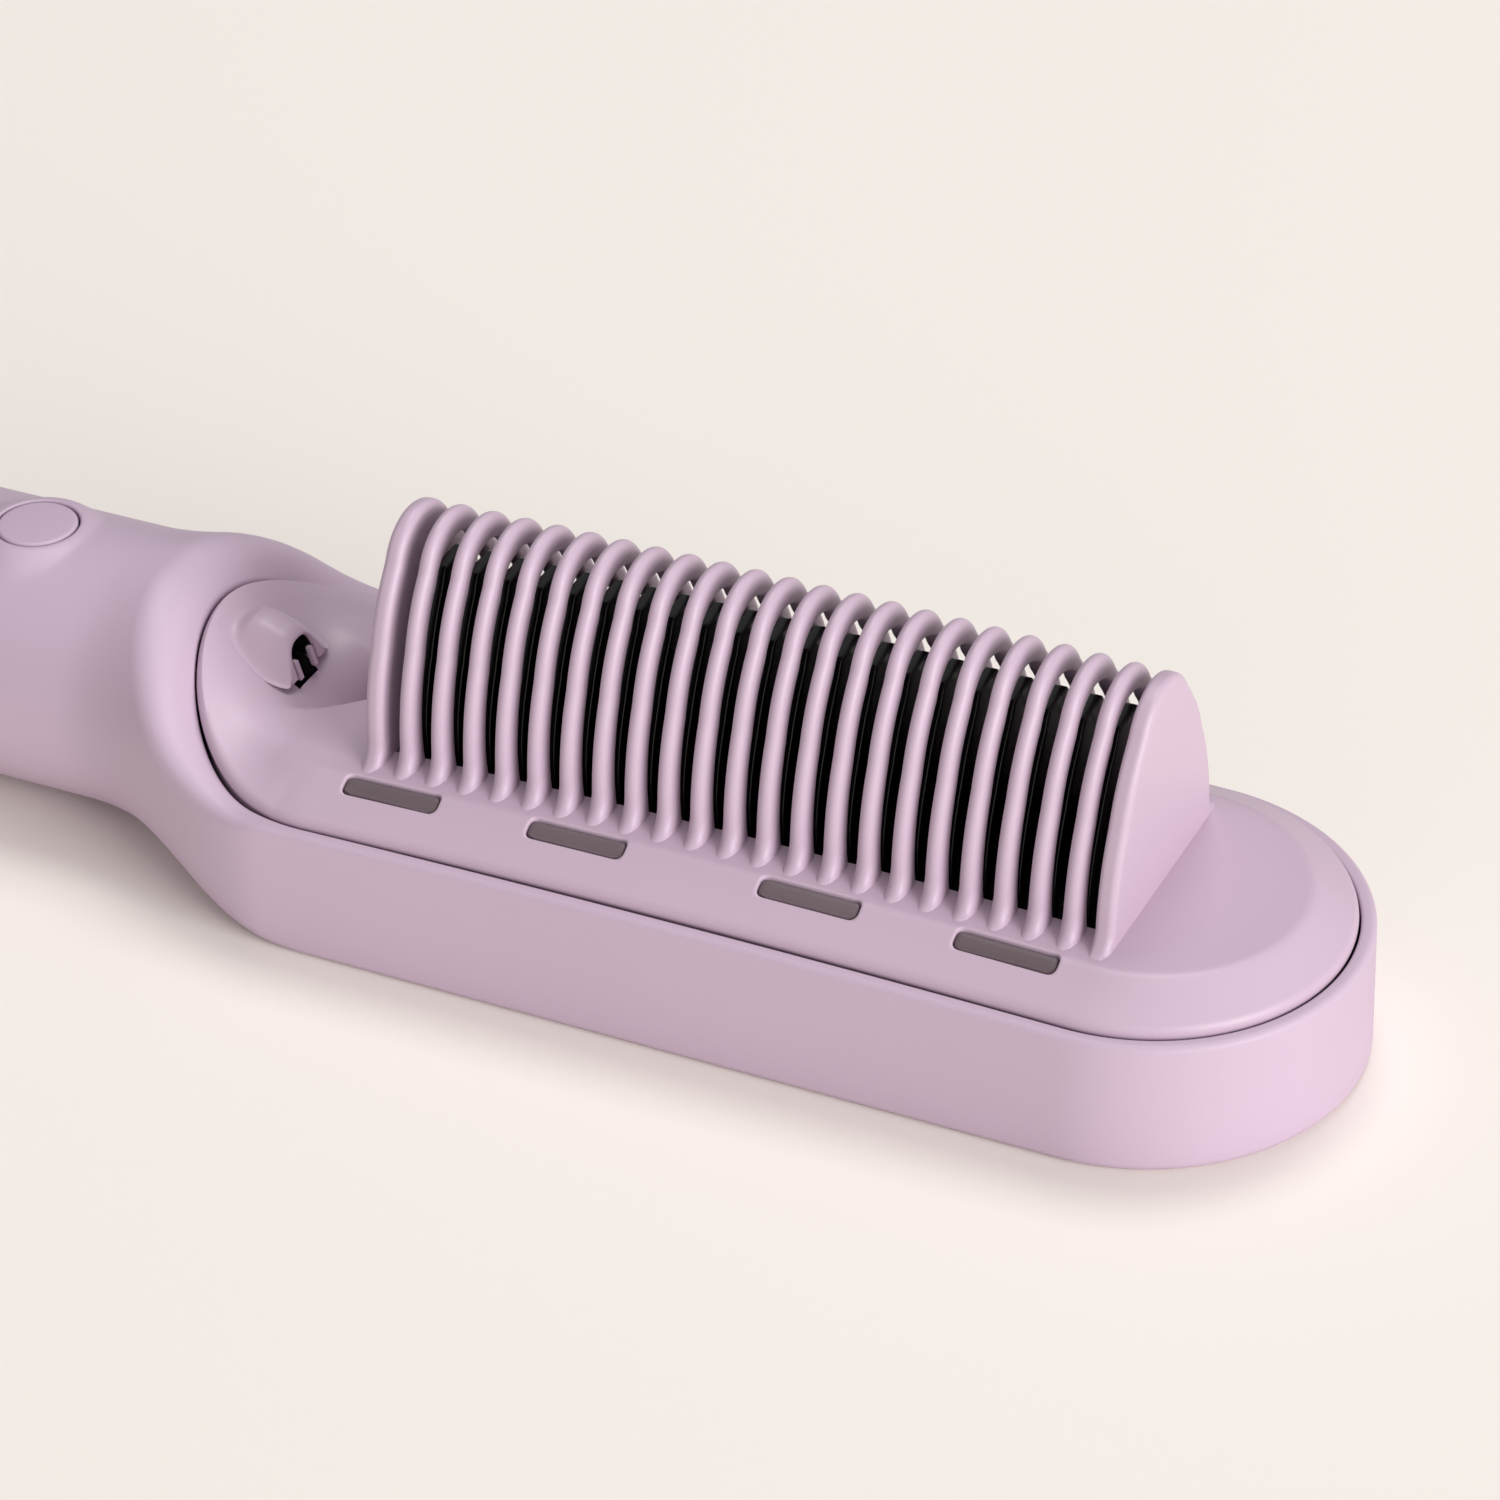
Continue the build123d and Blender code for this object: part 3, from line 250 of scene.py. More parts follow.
HOOD_FRONT, HOOD_BACK = 13.7, 7.2
HOOD_TOP = 26.3
HOOD_SPREAD = 5.4         # half width of the hood's foot
HOOD_SUNK = 1.2           # how far the face reaches below the deck
LIP = 1.0                 # round of the hood's lip
FACE_LEAN = 1.7           # how far the mouth's foot stands before its top
MOUTH_HALF, MOUTH_RISE = 2.3, 3.6
MOUTH_EDGE = 0.3          # round of the mouth's edge
MOUTH_RING = (11.8, 17.4)  # ring of the deck that is open inside the mouth
MOUTH_ANGLE = 10.25       # and how far it turns from the middle, in degrees

BUTTON_PLACES = {"ion": -17.9, "power": -44.05, "plus": -60.7225, "minus": -76.7775}
BUTTON_HOLE = 9.7
BUTTON_WALL = 3.5         # depth of the wall inside the hole
BUTTON_REACH = 7.2        # half length of the patch round a button
COLLAR = 0.25             # rise of the swelling round each button
SWELL_X, SWELL_Y = 7.0, 8.8  # half axes of the ellipse where the swelling ends
GUIDE_BOTTOM = 26.6       # height of the underside of the wall that guides a button
CAP_FLAT = 4.2            # radius of a cap's top inside its edge
CAP_EDGE = 0.4            # round of its edge
CAP_CROWN = 0.1           # fall of its top from the middle to that round
CAP_RISE = 0.4            # its top above the housing's back
FLANGE_RADIUS = 5.6       # flange under the cap, below the guide
FLANGE_GAP = 0.05
FLANGE_THICK = 1.0
STEM_RADIUS, STEM_FOOT = 1.6, 24.2
LIGHT_STEP = 3.952
LIGHT_PLACES = [-87.8925 - LIGHT_STEP * i for i in range(4)]
LIGHT_HOLE = 2.6
LIGHT_WALL = 2.0
NECK_SCREW = (20.0, 12.6)
TIP_SCREW = (130.0, 0.0)
SCREW_HOLE = 5.0
SCREW_WALL = 4.0
SCREW_REACH = 4.2         # half length of the patch round a screw of the neck

# Points of the meshes

ROOT_ROWS = 70            # points of the split round the root
SIDE_ROWS = 91            # along the side
TIP_ROWS = 41             # round the tip
ROOT_FAN, TIP_FAN = 80, 61  # rays of the cover's round ends
FLAT_COLUMNS = (3, 6)     # columns of the flat underside that a screw's patch takes
TIP_PATCH = 17            # rows of the tip that its screw's patch takes


def step(start, end, x):
    """S-shaped step: 3t^2 - 2t^3 between two places."""
    t = np.clip((x - start) / (end - start), 0, 1)
    return t * t * (3 - 2 * t)


def unit(v):
    """The same vectors, one to a row, with length 1."""
    return v / np.linalg.norm(v, axis=1)[:, None]


def handle_sizes(x):
    """Half width, height, back radius and corner radius of the housing's section at x."""
    grow = step(NECK_START, NECK_END, x)
    turn = step(NECK_START + 5, NECK_END + 4.5, x)
    shrink = np.clip((NECK_START - x) / (NECK_START - TAIL_X), 0, 1) ** 2
    half = HANDLE_HALF + (HEAD_RADIUS - HANDLE_HALF) * grow - TAIL_TAPER * shrink
    top = HANDLE_HEIGHT - TAIL_FALL * shrink
    crown = HANDLE_CROWN + (HEAD_CROWN - HANDLE_CROWN) * grow - TAIL_TAPER * shrink
    corner = HANDLE_CORNER + (HEAD_CORNER - HANDLE_CORNER) * turn - TAIL_TAPER * shrink
    return half, top, crown, corner


def back_height(x, y):
    """Height of the round back beside its middle line."""
    half, top, crown, _ = handle_sizes(x)
    side = np.clip(np.abs(y) - (half - crown), 0, crown)
    return top - crown + np.sqrt(crown ** 2 - side ** 2)


def swollen_back(x, y):
    """The round back with a swelling to a level ring round each button, blended over an ellipse."""
    high = back_height(x, y)
    for place in BUTTON_PLACES.values():
        off = np.hypot(x - place, y) + 1e-6
        reach = off / np.hypot((x - place) / SWELL_X, y / SWELL_Y)
        ring = handle_sizes(place)[1] + COLLAR
        high = high + step(reach, BUTTON_HOLE / 2, off) * (ring - high)
    return high


def outline(x, share):
    """Housing section at x, in y and z: share 0 to 1 is the flat, 1 to 2 the lower corner, 2 to 3 the side,
    3 to 4 the back's quarter circle, 4 to 5 the flat to the crown."""
    half, top, crown, foot = handle_sizes(x)
    a = np.clip(share - 1, 0, 1) * pi / 2
    b = np.clip(share - 3, 0, 1) * pi / 2
    y = np.clip(share, 0, 1) * (half - foot) + foot * np.sin(a) - crown * (1 - np.cos(b))
    y = y - np.clip(share - 4, 0, 1) * (half - crown)
    z = foot * (1 - np.cos(a)) + np.clip(share - 2, 0, 1) * (top - crown - foot) + crown * np.sin(b)
    return y, z


def split_height(x):
    """Height of the split: a long arch that climbs towards the handle on a circle and then a slope."""
    arch = SPLIT_HEIGHT - (np.maximum(x, SCOOP_X) - COMB_X) ** 2 / (2 * SPLIT_ARCH)
    bend_end = SCOOP_RADIUS * sin(SCOOP_ANGLE)
    run = np.clip(SCOOP_X - x, 0, bend_end)
    bend = SCOOP_RADIUS - np.sqrt(SCOOP_RADIUS ** 2 - run ** 2)
    slope = np.maximum(SCOOP_X - x - bend_end, 0) * tan(SCOOP_ANGLE)
    return arch + bend + slope


def deck_line(x):
    """Height of the cover on its middle line: a long arch that climbs towards the handle on a circle."""
    arch = DECK_HEIGHT - (np.maximum(x, RAMP_X) - COMB_X) ** 2 / (2 * DECK_ARCH)
    run = np.clip(RAMP_X - x, 0, RAMP_RADIUS)
    return arch + RAMP_RADIUS - np.sqrt(RAMP_RADIUS ** 2 - run ** 2)


def deck_height(x, y):
    """Height of the cover: its middle line, cut off by the sloping band round it. The lower of the two, a and
    b, with a soft crease: (a + b - sqrt((a - b)^2 + CREASE)) / 2."""
    centre = np.clip(x, ROOT_X, TIP_X)
    reach = np.maximum(np.hypot(x - centre, y), 0.001)
    way = (x - centre) / reach
    rim_x = centre + COVER_RADIUS * way
    end = ROOT_X - COVER_RADIUS
    drop = BAND_DROP[0] + BAND_DROP[1] * np.clip((rim_x - end) / (ROOT_X - 4 - end), 0, 1)
    wide = BAND - BAND_LOSS * np.clip((rim_x - TIP_X) / COVER_RADIUS, 0, 1)
    high = deck_line(centre + (COVER_RADIUS - wide) * way)
    band = high + (deck_line(rim_x) - drop - high) * (reach - COVER_RADIUS + wide) / wide
    flat = deck_line(x)
    return (band + flat - np.sqrt((band - flat) ** 2 + CREASE)) / 2


def level(x, y):
    """Height of the flat underside."""
    return 0 * x


# Meshes

def made(name, sheets, material, body, close=False, wall=0.0, sharp=38.0):
    """One piece from sheets of points (rows, columns, 3) in mm, each alone or with a mask of the cells that
    it keeps. Sheets merge along the points that they share. The piece rides on the body, close caps its open
    ends, and a wall in mm thickens it inwards."""
    points, faces, start = [], [], 0
    for sheet in sheets:
        grid, keep = sheet if isinstance(sheet, tuple) else (sheet, None)
        rows, columns = grid.shape[:2]
        index = np.arange(rows * columns).reshape(rows, columns) + start
        cells = np.stack([index[:-1, :-1], index[1:, :-1], index[1:, 1:], index[:-1, 1:]], -1)
        if keep is not None:
            cells = cells[keep]
        points.append(grid.reshape(-1, 3))
        faces.append(cells.reshape(-1, 4))
        start += rows * columns
    mesh = bpy.data.meshes.new(name)
    mesh.from_pydata(np.concatenate(points) * MM, [], np.concatenate(faces).tolist())
    shape = bmesh.new()
    shape.from_mesh(mesh)
    bmesh.ops.remove_doubles(shape, verts=shape.verts, dist=0.004 * MM)
    bmesh.ops.dissolve_degenerate(shape, edges=shape.edges, dist=0.001 * MM)
    if close:
        bmesh.ops.holes_fill(shape, edges=[e for e in shape.edges if e.is_boundary], sides=0)
    bmesh.ops.recalc_face_normals(shape, faces=shape.faces)
    shape.to_mesh(mesh)
    shape.free()
    mesh.shade_smooth()
    mesh.set_sharp_from_angle(angle=radians(sharp))
    mesh.materials.append(material)
    thing = bpy.data.objects.new(name, mesh)
    bpy.context.scene.collection.objects.link(thing)
    if wall:
        shell = thing.modifiers.new("wall", "SOLIDIFY")
        shell.thickness = wall * MM
        shell.offset = -1
    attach(thing, body)
    return thing


def both_sides(sheets):
    """The sheets and their mirror images across the middle plane."""
    flip = np.array([1, -1, 1])
    pairs = [s if isinstance(s, tuple) else (s, None) for s in sheets]
    return pairs + [(grid * flip, keep) for grid, keep in pairs]


def mirrored(line):
    """Half an outline, from its foot to its top, and its mirror image back to the foot."""
    return np.concatenate([line, line[-2::-1] * (-1, 1)])


def nearest(values, *places):
    """Index of the value nearest to each place."""
    return [int(np.argmin(np.abs(values - place))) for place in places]


def cut_patch(grid, keep, i0, i1, j0, j1):
    """Leaves a patch of cells out and gives the closed loop of points round it."""
    keep[i0:i1, j0:j1] = False
    loop = np.concatenate([grid[i0:i1, j0], grid[i1, j0:j1], grid[i1:i0:-1, j1], grid[i0, j1:j0:-1]])
    return np.concatenate([loop, loop[:1]])


def cut_at_crown(grid, keep, i0, i1, j):
    """Leaves the cells from column j to the last one out and gives the open loop of points round them."""
    keep[i0:i1, j:] = False
    return np.concatenate([grid[i0, :j:-1], grid[i0:i1, j], grid[i1, j:]])


def opening(loop, centre, size, height, depth, rings, edge, corner=None):
    """Sheet from a loop of points in to a hole of a length and width with round corners: straight in plan
    towards the nearest point of the hole's edge, on the given height, then a quarter-round edge and an
    upright wall, which goes down where the depth is negative."""
    length, width = size
    corner = corner or width / 2
    edge_rise = np.sign(depth) * edge
    foot = np.array(centre) + np.column_stack([
        np.clip(loop[:, 0] - centre[0], corner - length / 2, length / 2 - corner),
        np.clip(loop[:, 1] - centre[1], corner - width / 2, width / 2 - corner),
    ])
    way = unit(loop[:, :2] - foot)
    rim = foot + way * (corner + edge)
    rows = []
    for share in np.linspace(1, 0, rings):
        flat = rim + share * (loop[:, :2] - rim)
        high = loop[:, 2] if share == 1 else height(flat[:, 0], flat[:, 1])
        rows.append(np.column_stack([flat, high]))
    base = rows[-1][:, 2]
    for turn in np.linspace(0, pi / 2, 5)[1:]:
        flat = foot + way * (corner + edge * (1 - sin(turn)))
        rows.append(np.column_stack([flat, base + edge_rise * (1 - cos(turn))]))
    rows.append(np.column_stack([foot + way * corner, base + depth]))
    return np.array(rows)


def conic(a, corner, b, count):
    """Round from a to b that leaves along the lines to the corner: a rational quadratic curve."""
    t = np.linspace(0, 1, count)[None, :, None]
    weight = 0.8
    start, middle, end = (1 - t) ** 2, 2 * weight * t * (1 - t), t ** 2
    points = start * a[:, None] + middle * corner[:, None] + end * b[:, None]
    return points / (start + middle + end)


def lathe(profile, x, y, count=64):
    """Upright turned body: a profile of radius and height carried round its axis."""
    turn = np.linspace(0, 2 * pi, count + 1)
    r, z = profile[:, 0], profile[:, 1]
    return np.stack([
        x + r[:, None] * np.cos(turn),
        y + r[:, None] * np.sin(turn),
        np.broadcast_to(z[:, None], (len(r), len(turn))),
    ], -1)


# Housing

def split_edge():
    """Where the outer skin meets the split, from the crown round to the tip, on the positive side: points,
    skin normals and the seat's edge beside them."""
    x = SPLIT_END + (ROOT_X - SPLIT_END) * np.linspace(0, 1, 4000) ** 2
    half, top, crown, _ = handle_sizes(x)
    turn = np.arcsin(np.clip((split_height(x) - (top - crown)) / crown, 0, 1))
    y = half - crown + crown * np.cos(turn)
    angle = np.concatenate([[0], np.arctan2(y, ROOT_X - x)])
    x, y, turn = np.concatenate([x[:1], x]), np.concatenate([[0], y]), np.concatenate([turn[:1], turn])
    fan = np.linspace(0, pi / 2, ROOT_ROWS)
    ex, ey, ea = (np.interp(fan, angle, v) for v in (x, y, turn))
    straight = np.linspace(ROOT_X, TIP_X, SIDE_ROWS)[1:-1]
    beside = np.ones(len(straight))
    tip = np.linspace(pi / 2, 0, TIP_ROWS)
    ex = np.concatenate([ex, straight, TIP_X + HEAD_RADIUS * np.cos(tip)])
    ey = np.concatenate([ey, HEAD_RADIUS * beside, HEAD_RADIUS * np.sin(tip)])
    ea = np.concatenate([ea, 0 * beside, 0 * tip])
    seat_x = np.concatenate([ROOT_X - SEAT_RADIUS * np.cos(fan), straight, TIP_X + SEAT_RADIUS * np.cos(tip)])
    seat_y = SEAT_RADIUS * np.concatenate([np.sin(fan), beside, np.sin(tip)])
    apart = 0.05
    before, after = handle_sizes(ex - apart), handle_sizes(ex + apart)
    lean = [(q - p) / (2 * apart) for p, q in zip(before, after)]
    side = (lean[0] - lean[2] + lean[2] * np.cos(ea)) * np.cos(ea)
    rise = (lean[1] - lean[2] + lean[2] * np.sin(ea)) * np.sin(ea)
    normal = np.column_stack([-(side + rise), np.cos(ea), np.sin(ea)])
    at_tip = ex > TIP_X
    normal[at_tip] = np.column_stack([(ex - TIP_X) / HEAD_RADIUS, ey / HEAD_RADIUS, 0 * ex])[at_tip]
    edge = np.column_stack([ex, ey, split_height(ex)])
    return edge, unit(normal), np.column_stack([seat_x, seat_y, split_height(seat_x)])


def rim_rails(edge, normal, seat):
    """The two lines between which the rim's round runs: down the skin and in along the split. The round
    narrows from the handle to the front."""
    along = unit(np.gradient(edge, axis=0))
    along[0] = (0, 1, 0)
    along[-1] = (0, -1, 0)
    down = unit(np.cross(normal, along))
    slope = (split_height(edge[:, 0] + 0.02) - split_height(edge[:, 0] - 0.02)) / 0.04
    cut = unit(np.column_stack([-slope, 0 * slope, 1 + 0 * slope]))
    inward = unit(np.cross(along, cut))
    room = np.linalg.norm(seat - edge, axis=1)
    fade = step(*ROLL_FADE, edge[:, 0])
    size = np.minimum(ROLL_WIDE * (1 - fade) + ROLL_NARROW * fade, room * 0.85)
    lower = edge + down * size[:, None]
    upper = edge + inward * size[:, None]
    upper[:, 2] = split_height(upper[:, 0])
    return lower, upper


def onto_skin(rail):
    """Puts a rail's points back onto the skin. Gives them, their shares of the section, the section's place,
    the place on the spine and the plan direction from it."""
    section_x = np.minimum(rail[:, 0], HEAD_SECTION)
    half, top, crown, foot = handle_sizes(section_x)
    centre_y, centre_z = half - crown, top - crown
    spine = np.clip(rail[:, 0], None, TIP_X)
    reach = np.hypot(rail[:, 0] - spine, rail[:, 1])
    turn = np.arctan2(rail[:, 2] - centre_z, np.maximum(reach - centre_y, 0))
    above = rail[:, 2] > centre_z
    share = np.where(above, 3 + turn / (pi / 2), 2 + (rail[:, 2] - foot) / (centre_z - foot))
    share = np.where(above & (reach < centre_y), 5 - reach / np.maximum(centre_y, 0.01), share)
    share[0] = 5
    y, z = outline(section_x, share)
    way = np.column_stack([rail[:, 0] - spine, rail[:, 1]])
    way /= np.maximum(np.linalg.norm(way, axis=1), 1e-6)[:, None]
    way[0] = (0, 1)
    return np.column_stack([spine + y * way[:, 0], y * way[:, 1], z]), share, section_x, spine, way


def handle_sheets(whole):
    """Handle: whole sections at even rows and at the edges of the lights' patches, with holes for the buttons
    and the lights through the round back."""
    light_edges = [x + d for x in LIGHT_PLACES for d in (-LIGHT_STEP / 2, LIGHT_STEP / 2)]
    rows = np.unique(np.round(np.concatenate([np.linspace(TAIL_X, NECK_JOIN, 113), light_edges]), 3))
    y, z = outline(rows[:, None], np.broadcast_to(whole, (len(rows), len(whole))))
    skin = np.stack([np.broadcast_to(rows[:, None], y.shape), y, z], -1)
    keep = np.ones((len(rows) - 1, len(whole) - 1), bool)
    sheets = []
    for x in BUTTON_PLACES.values():
        i0, i1 = np.searchsorted(rows, (x - BUTTON_REACH, x + BUTTON_REACH))
        loop = cut_at_crown(skin, keep, i0, i1, np.searchsorted(whole, 3.6))
        sheets.append(opening(loop, (x, 0), (BUTTON_HOLE,) * 2, swollen_back, -BUTTON_WALL, 12, 0.25))
    for x in LIGHT_PLACES:
        i0, i1 = nearest(rows, x - LIGHT_STEP / 2, x + LIGHT_STEP / 2)
        loop = cut_at_crown(skin, keep, i0, i1, np.searchsorted(whole, 3.9))
        sheets.append(opening(loop, (x, 0), (LIGHT_HOLE,) * 2, swollen_back, -LIGHT_WALL, 4, 0.12))
    return sheets + [(skin, keep)]


def housing():
    """Skin, rolled rim and seat wall of the housing. The skin is the section carried along the handle, neck
    and head, and the rim's round runs between its rails."""
    edge, normal, seat = split_edge()
    lower, upper = rim_rails(edge, normal, seat)
    lower, share, section_x, spine, way = onto_skin(lower)
    lip = seat + SEAT_EDGE * unit(upper - seat)
    lip[:, 2] = split_height(lip[:, 0])
    below = seat - np.array([0, 0, SEAT_EDGE])
    sheets = [
        conic(lower, edge, upper, 10),
        np.stack([upper, lip], 1),
        conic(lip, seat, below, 5),
        np.stack([below, seat - np.array([0, 0, SEAT_DEPTH])], 1),
    ]
    base = np.concatenate([np.linspace(0, 1, 9), np.linspace(1, 2, 9)[1:]])
    climb = np.linspace(0, 1, 9)[1:]
    turns = 2 + 3 * np.linspace(1, 0, ROOT_ROWS) ** 1.5
    # shoulder: lines from the handle's last section to the rail, and the belly below the last of them
    run = np.linspace(0, 1, 37)
    rail = slice(0, ROOT_ROWS)
    lines_x = NECK_JOIN + run * (lower[rail, :1] - NECK_JOIN)
    y, z = outline(lines_x, turns[:, None] + run * (share[rail, None] - turns[:, None]))
    shoulder = np.stack([lines_x, y, z], -1)
    shoulder[:, -1] = lower[rail]
    sheets.append(shoulder)
    sheets += handle_sheets(np.concatenate([base, turns[-2::-1]]))
    last = ROOT_ROWS - 1
    belly_x = np.broadcast_to(lines_x[last][:, None], (len(run), len(base) + len(climb)))
    y, z = outline(belly_x, np.concatenate([
        np.broadcast_to(base, (len(run), len(base))),
        2 + (share[last] - 2) * run[:, None] * climb,
    ], 1))
    belly = np.stack([belly_x, y, z], -1)
    keep = np.ones((belly.shape[0] - 1, belly.shape[1] - 1), bool)
    i0, i1 = np.searchsorted(belly[:, 0, 0], (NECK_SCREW[0] - SCREW_REACH, NECK_SCREW[0] + SCREW_REACH))
    loop = cut_patch(belly, keep, i0, i1, *FLAT_COLUMNS)
    sheets += [opening(loop, NECK_SCREW, (SCREW_HOLE,) * 2, level, SCREW_WALL, 5, 0.2), (belly, keep)]
    # head: upright sections carried along the straight sides and round the tip
    head = slice(last, None)
    y, z = outline(section_x[head, None], np.concatenate([
        np.broadcast_to(base, (len(edge) - last, len(base))),
        2 + (share[head, None] - 2) * climb,
    ], 1))
    skin = np.stack([spine[head, None] + y * way[head, :1], y * way[head, 1:], z], -1)
    skin[:, -1] = lower[head]
    keep = np.ones((skin.shape[0] - 1, skin.shape[1] - 1), bool)
    i0 = len(skin) - TIP_PATCH
    j0, j1 = FLAT_COLUMNS
    keep[i0:, j0:j1] = False
    loop = np.concatenate([skin[:i0:-1, j0], skin[i0, j0:j1], skin[i0:, j1]])
    sheets += [opening(loop, TIP_SCREW, (SCREW_HOLE,) * 2, level, SCREW_WALL, 5, 0.2), (skin, keep)]
    piece = made("housing_shell", both_sides(sheets), housing_lilac, "housing", wall=HOUSING_WALL)
    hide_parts("main_housing")


# Comb cover

def deck_points(x, y):
    """Points of the cover's surface over places in plan."""
    return np.stack([x, y, deck_height(x, y)], -1)


def cover():
    """Deck, band, rim and skirt of the comb cover: heights over its plan, with the comb's window and slots
    left out, and a rounded rim carried round the plan."""
    rim = COVER_RADIUS - EDGE_ROUND * (1 - cos(EDGE_START))
    inner = np.linspace(0, WINDOW, 19)
    outer = np.concatenate([
        np.linspace(WINDOW, SLOT_STRIP[0], 10),
        np.linspace(*SLOT_STRIP, 9)[1:],
        np.linspace(SLOT_STRIP[1], rim, 6)[1:],
    ])
    limits = [ROOT_X] + [s + d for s in SLOT_PLACES for d in (-SLOT_REACH, SLOT_REACH)] + [TIP_X]
    parts = [np.linspace(a, b, max(3, int((b - a) / 0.55)))[:-1] for a, b in zip(limits, limits[1:])]
    x = np.unique(np.round(np.concatenate(parts + [[TIP_X], WINDOW_ENDS]), 4))
    # straight part beside the window
    beside = deck_points(*np.meshgrid(x, outer, indexing="ij"))
    keep = np.ones((len(x) - 1, len(outer) - 1), bool)
    sheets = []
    for s in SLOT_PLACES:
        i0, i1 = nearest(x, s - SLOT_REACH, s + SLOT_REACH)
        loop = cut_patch(beside, keep, i0, i1, *nearest(outer, *SLOT_STRIP))
        size = (SLOT_LENGTH, SLOT_WIDTH)
        sheets.append(opening(loop, (s, SLOT_Y), size, deck_height, -SLOT_WALL, 4, 0.2, SLOT_CORNER))
    sheets.append((beside, keep))
    # ends of the straight part, inside the window's width
    for a, b in ((ROOT_X, WINDOW_ENDS[0]), (WINDOW_ENDS[1], TIP_X)):
        part = x[(x >= a - 0.01) & (x <= b + 0.01)]
        sheets.append(deck_points(*np.meshgrid(part, inner, indexing="ij")))
    # round ends
    radial = np.concatenate([inner, outer[1:]])
    root = np.linspace(pi, pi / 2, ROOT_FAN)
    tip = np.linspace(pi / 2, 0, TIP_FAN)
    fans = []
    for centre, fan in ((ROOT_X, root), (TIP_X, tip)):
        fans.append(deck_points(centre + radial * np.cos(fan)[:, None], radial * np.sin(fan)[:, None]))
    mouth = np.ones((ROOT_FAN - 1, len(radial) - 1), bool)
    j0, j1 = nearest(radial, *MOUTH_RING)
    mouth[:round((ROOT_FAN - 1) * MOUTH_ANGLE / 90), j0:j1] = False
    sheets += [(fans[0], mouth), fans[1]]
    # rounded rim and skirt along the whole plan
    between = x[1:-1]
    centres = np.concatenate([np.full(ROOT_FAN, ROOT_X), between, np.full(TIP_FAN, TIP_X)])
    out_x = np.concatenate([np.cos(root), 0 * between, np.cos(tip)])
    out_y = np.concatenate([np.sin(root), 1 + 0 * between, np.sin(tip)])

    def at(reach):
        return deck_points(centres + reach * out_x, reach * out_y)

    start = at(rim)
    turn = np.linspace(EDGE_START, EDGE_END, 13)[1:]
    less = EDGE_ROUND * (1 - np.cos(turn))
    drop = EDGE_ROUND * (sin(EDGE_START) - np.sin(turn))
    fade = 0.15 + 0.85 * step(ROOT_X - 6, ROOT_X + 12, centres + COVER_RADIUS * out_x)
    under = less[-1] - fade * tan(EDGE_END)
    insets = [*less, under, under]
    falls = [*drop, drop[-1] + 1.0, drop[-1] + 2.5]
    rows = [start]
    for inset, fall in zip(insets, falls):
        row = at(COVER_RADIUS - inset)
        row[:, 2] = start[:, 2] - fall
        rows.append(row)
    sheets.append(np.stack(rows, 1))
    # walls of the window
    down = np.array([0, 0, WINDOW_WALL])
    span = x[(x >= WINDOW_ENDS[0] - 0.01) & (x <= WINDOW_ENDS[1] + 0.01)]
    side = deck_points(span, 0 * span + WINDOW)
    sheets.append(np.stack([side, side - down], 1))
    for end in WINDOW_ENDS:
        edge = deck_points(0 * inner + end, inner)
        sheets.append(np.stack([edge, edge - down], 1))
    piece = made("cover_shell", both_sides(sheets), cover_lilac, "housing")
    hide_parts("comb_cover")


